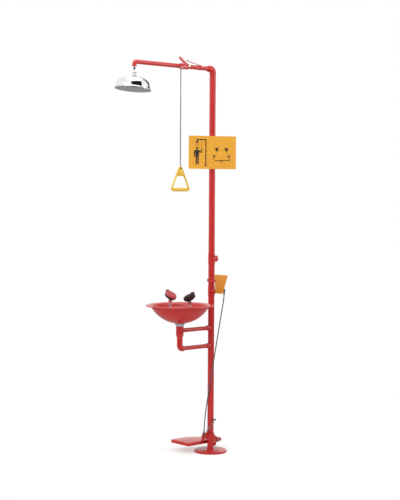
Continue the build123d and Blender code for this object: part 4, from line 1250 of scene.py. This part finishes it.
boltForm = {"clampHeights": ((82.0, 12), (104.0, 41)), "clampX": 24.0, "clampAcross": 10.0, "clampHigh": 4.6,
            "washer": 6.4, "washerThick": 1.1, "headOff": 1.0,
            "stopX": -28.0, "stopGap": 1.5, "stopAcross": 10.0, "stopHigh": 5.0, "shank": 3.0}


def makeBolts():
    pieces = []
    for z, spin in boltForm["clampHeights"]:
        headAt = (boltForm["clampX"] + boltForm["headOff"], 0, z)
        head = hexPiece("head", boltForm["clampAcross"], boltForm["clampHigh"])
        pieces.append(bakeStack(head, standing(headAt, (1, 0, 0), spin=spin)))
        washer = ringSection(0, boltForm["washer"], 0, boltForm["washerThick"])
        washer = turnedPiece("washer", washer, steps=32, soft=0.3)
        pieces.append(bakeStack(washer, standing((boltForm["clampX"], 0, z), (1, 0, 0))))
    stopX, bandZ, shank = boltForm["stopX"], midOf("flag_stop_band").z, boltForm["shank"]
    for side in (-1, 1):
        head = hexPiece("head", boltForm["stopAcross"], boltForm["stopHigh"])
        seat = standing((stopX, side * boltForm["stopGap"], bandZ), (0, side, 0), spin=20)
        pieces.append(bakeStack(head, seat))
    shank = turnedPiece("shank", ringSection(0, shank, -shank, shank), steps=24)
    pieces.append(bakeStack(shank, standing((stopX, 0, bandZ), (0, 1, 0))))
    finishPiece(joined("clamp_bolts", pieces), "red_paint", "stand", "clamp_screws")


makeBolts()
print("bolts done")


signScrew = [(0, 2.6), (3.0, 2.4), (5.2, 1.5), (5.9, 0.2), (5.9, 0), (2.9, 0), (2.9, -5.8), (0, -5.8)]


def makeSignScrews():
    # pan heads a quarter of the sign's height above and below its middle
    screws = []
    for v in (-signForm["height"] / 4, signForm["height"] / 4):
        screw = turnedPiece("screw", signScrew, steps=32, soft=0.3)
        screws.append(bakeStack(screw, signSeat(0) @ shifted(0, v, 0)))
    finishPiece(joined("sign_fixings", screws), "sign_face", "stand", "sign_screws")


makeSignScrews()
print("sign screws done")


def makeThreads():
    # female pipe thread just inside each open mouth
    pitch, outer = threadForm["pitch"], threadForm["radius"] + threadForm["sunk"]
    tooth = [(outer, 0), (threadForm["radius"] - threadForm["depth"], pitch * threadForm["crest"]),
             (outer, pitch * threadForm["root"])]
    for mouth, fitting in (("inlet", "inlet_tee"), ("outlet", "waste_outlet")):
        start, length = threadForm[mouth]
        thread = meshPiece(mouth + "_thread", [(r * mm, 0, z * mm) for r, z in tooth],
                           edges=[(0, 1), (1, 2), (2, 0)])
        addStep(thread, "SCREW", steps=40, render_steps=40, iterations=int(length / pitch),
                screw_offset=pitch * mm, use_smooth_shade=True, use_merge_vertices=False)
        place = standing((0, highOf(fitting).y - start, midOf(fitting).z), (0, 1, 0))
        finishPiece(bakeStack(thread, place, sharpAngle=30), "brass", "stand")


makeThreads()
print("threads done")
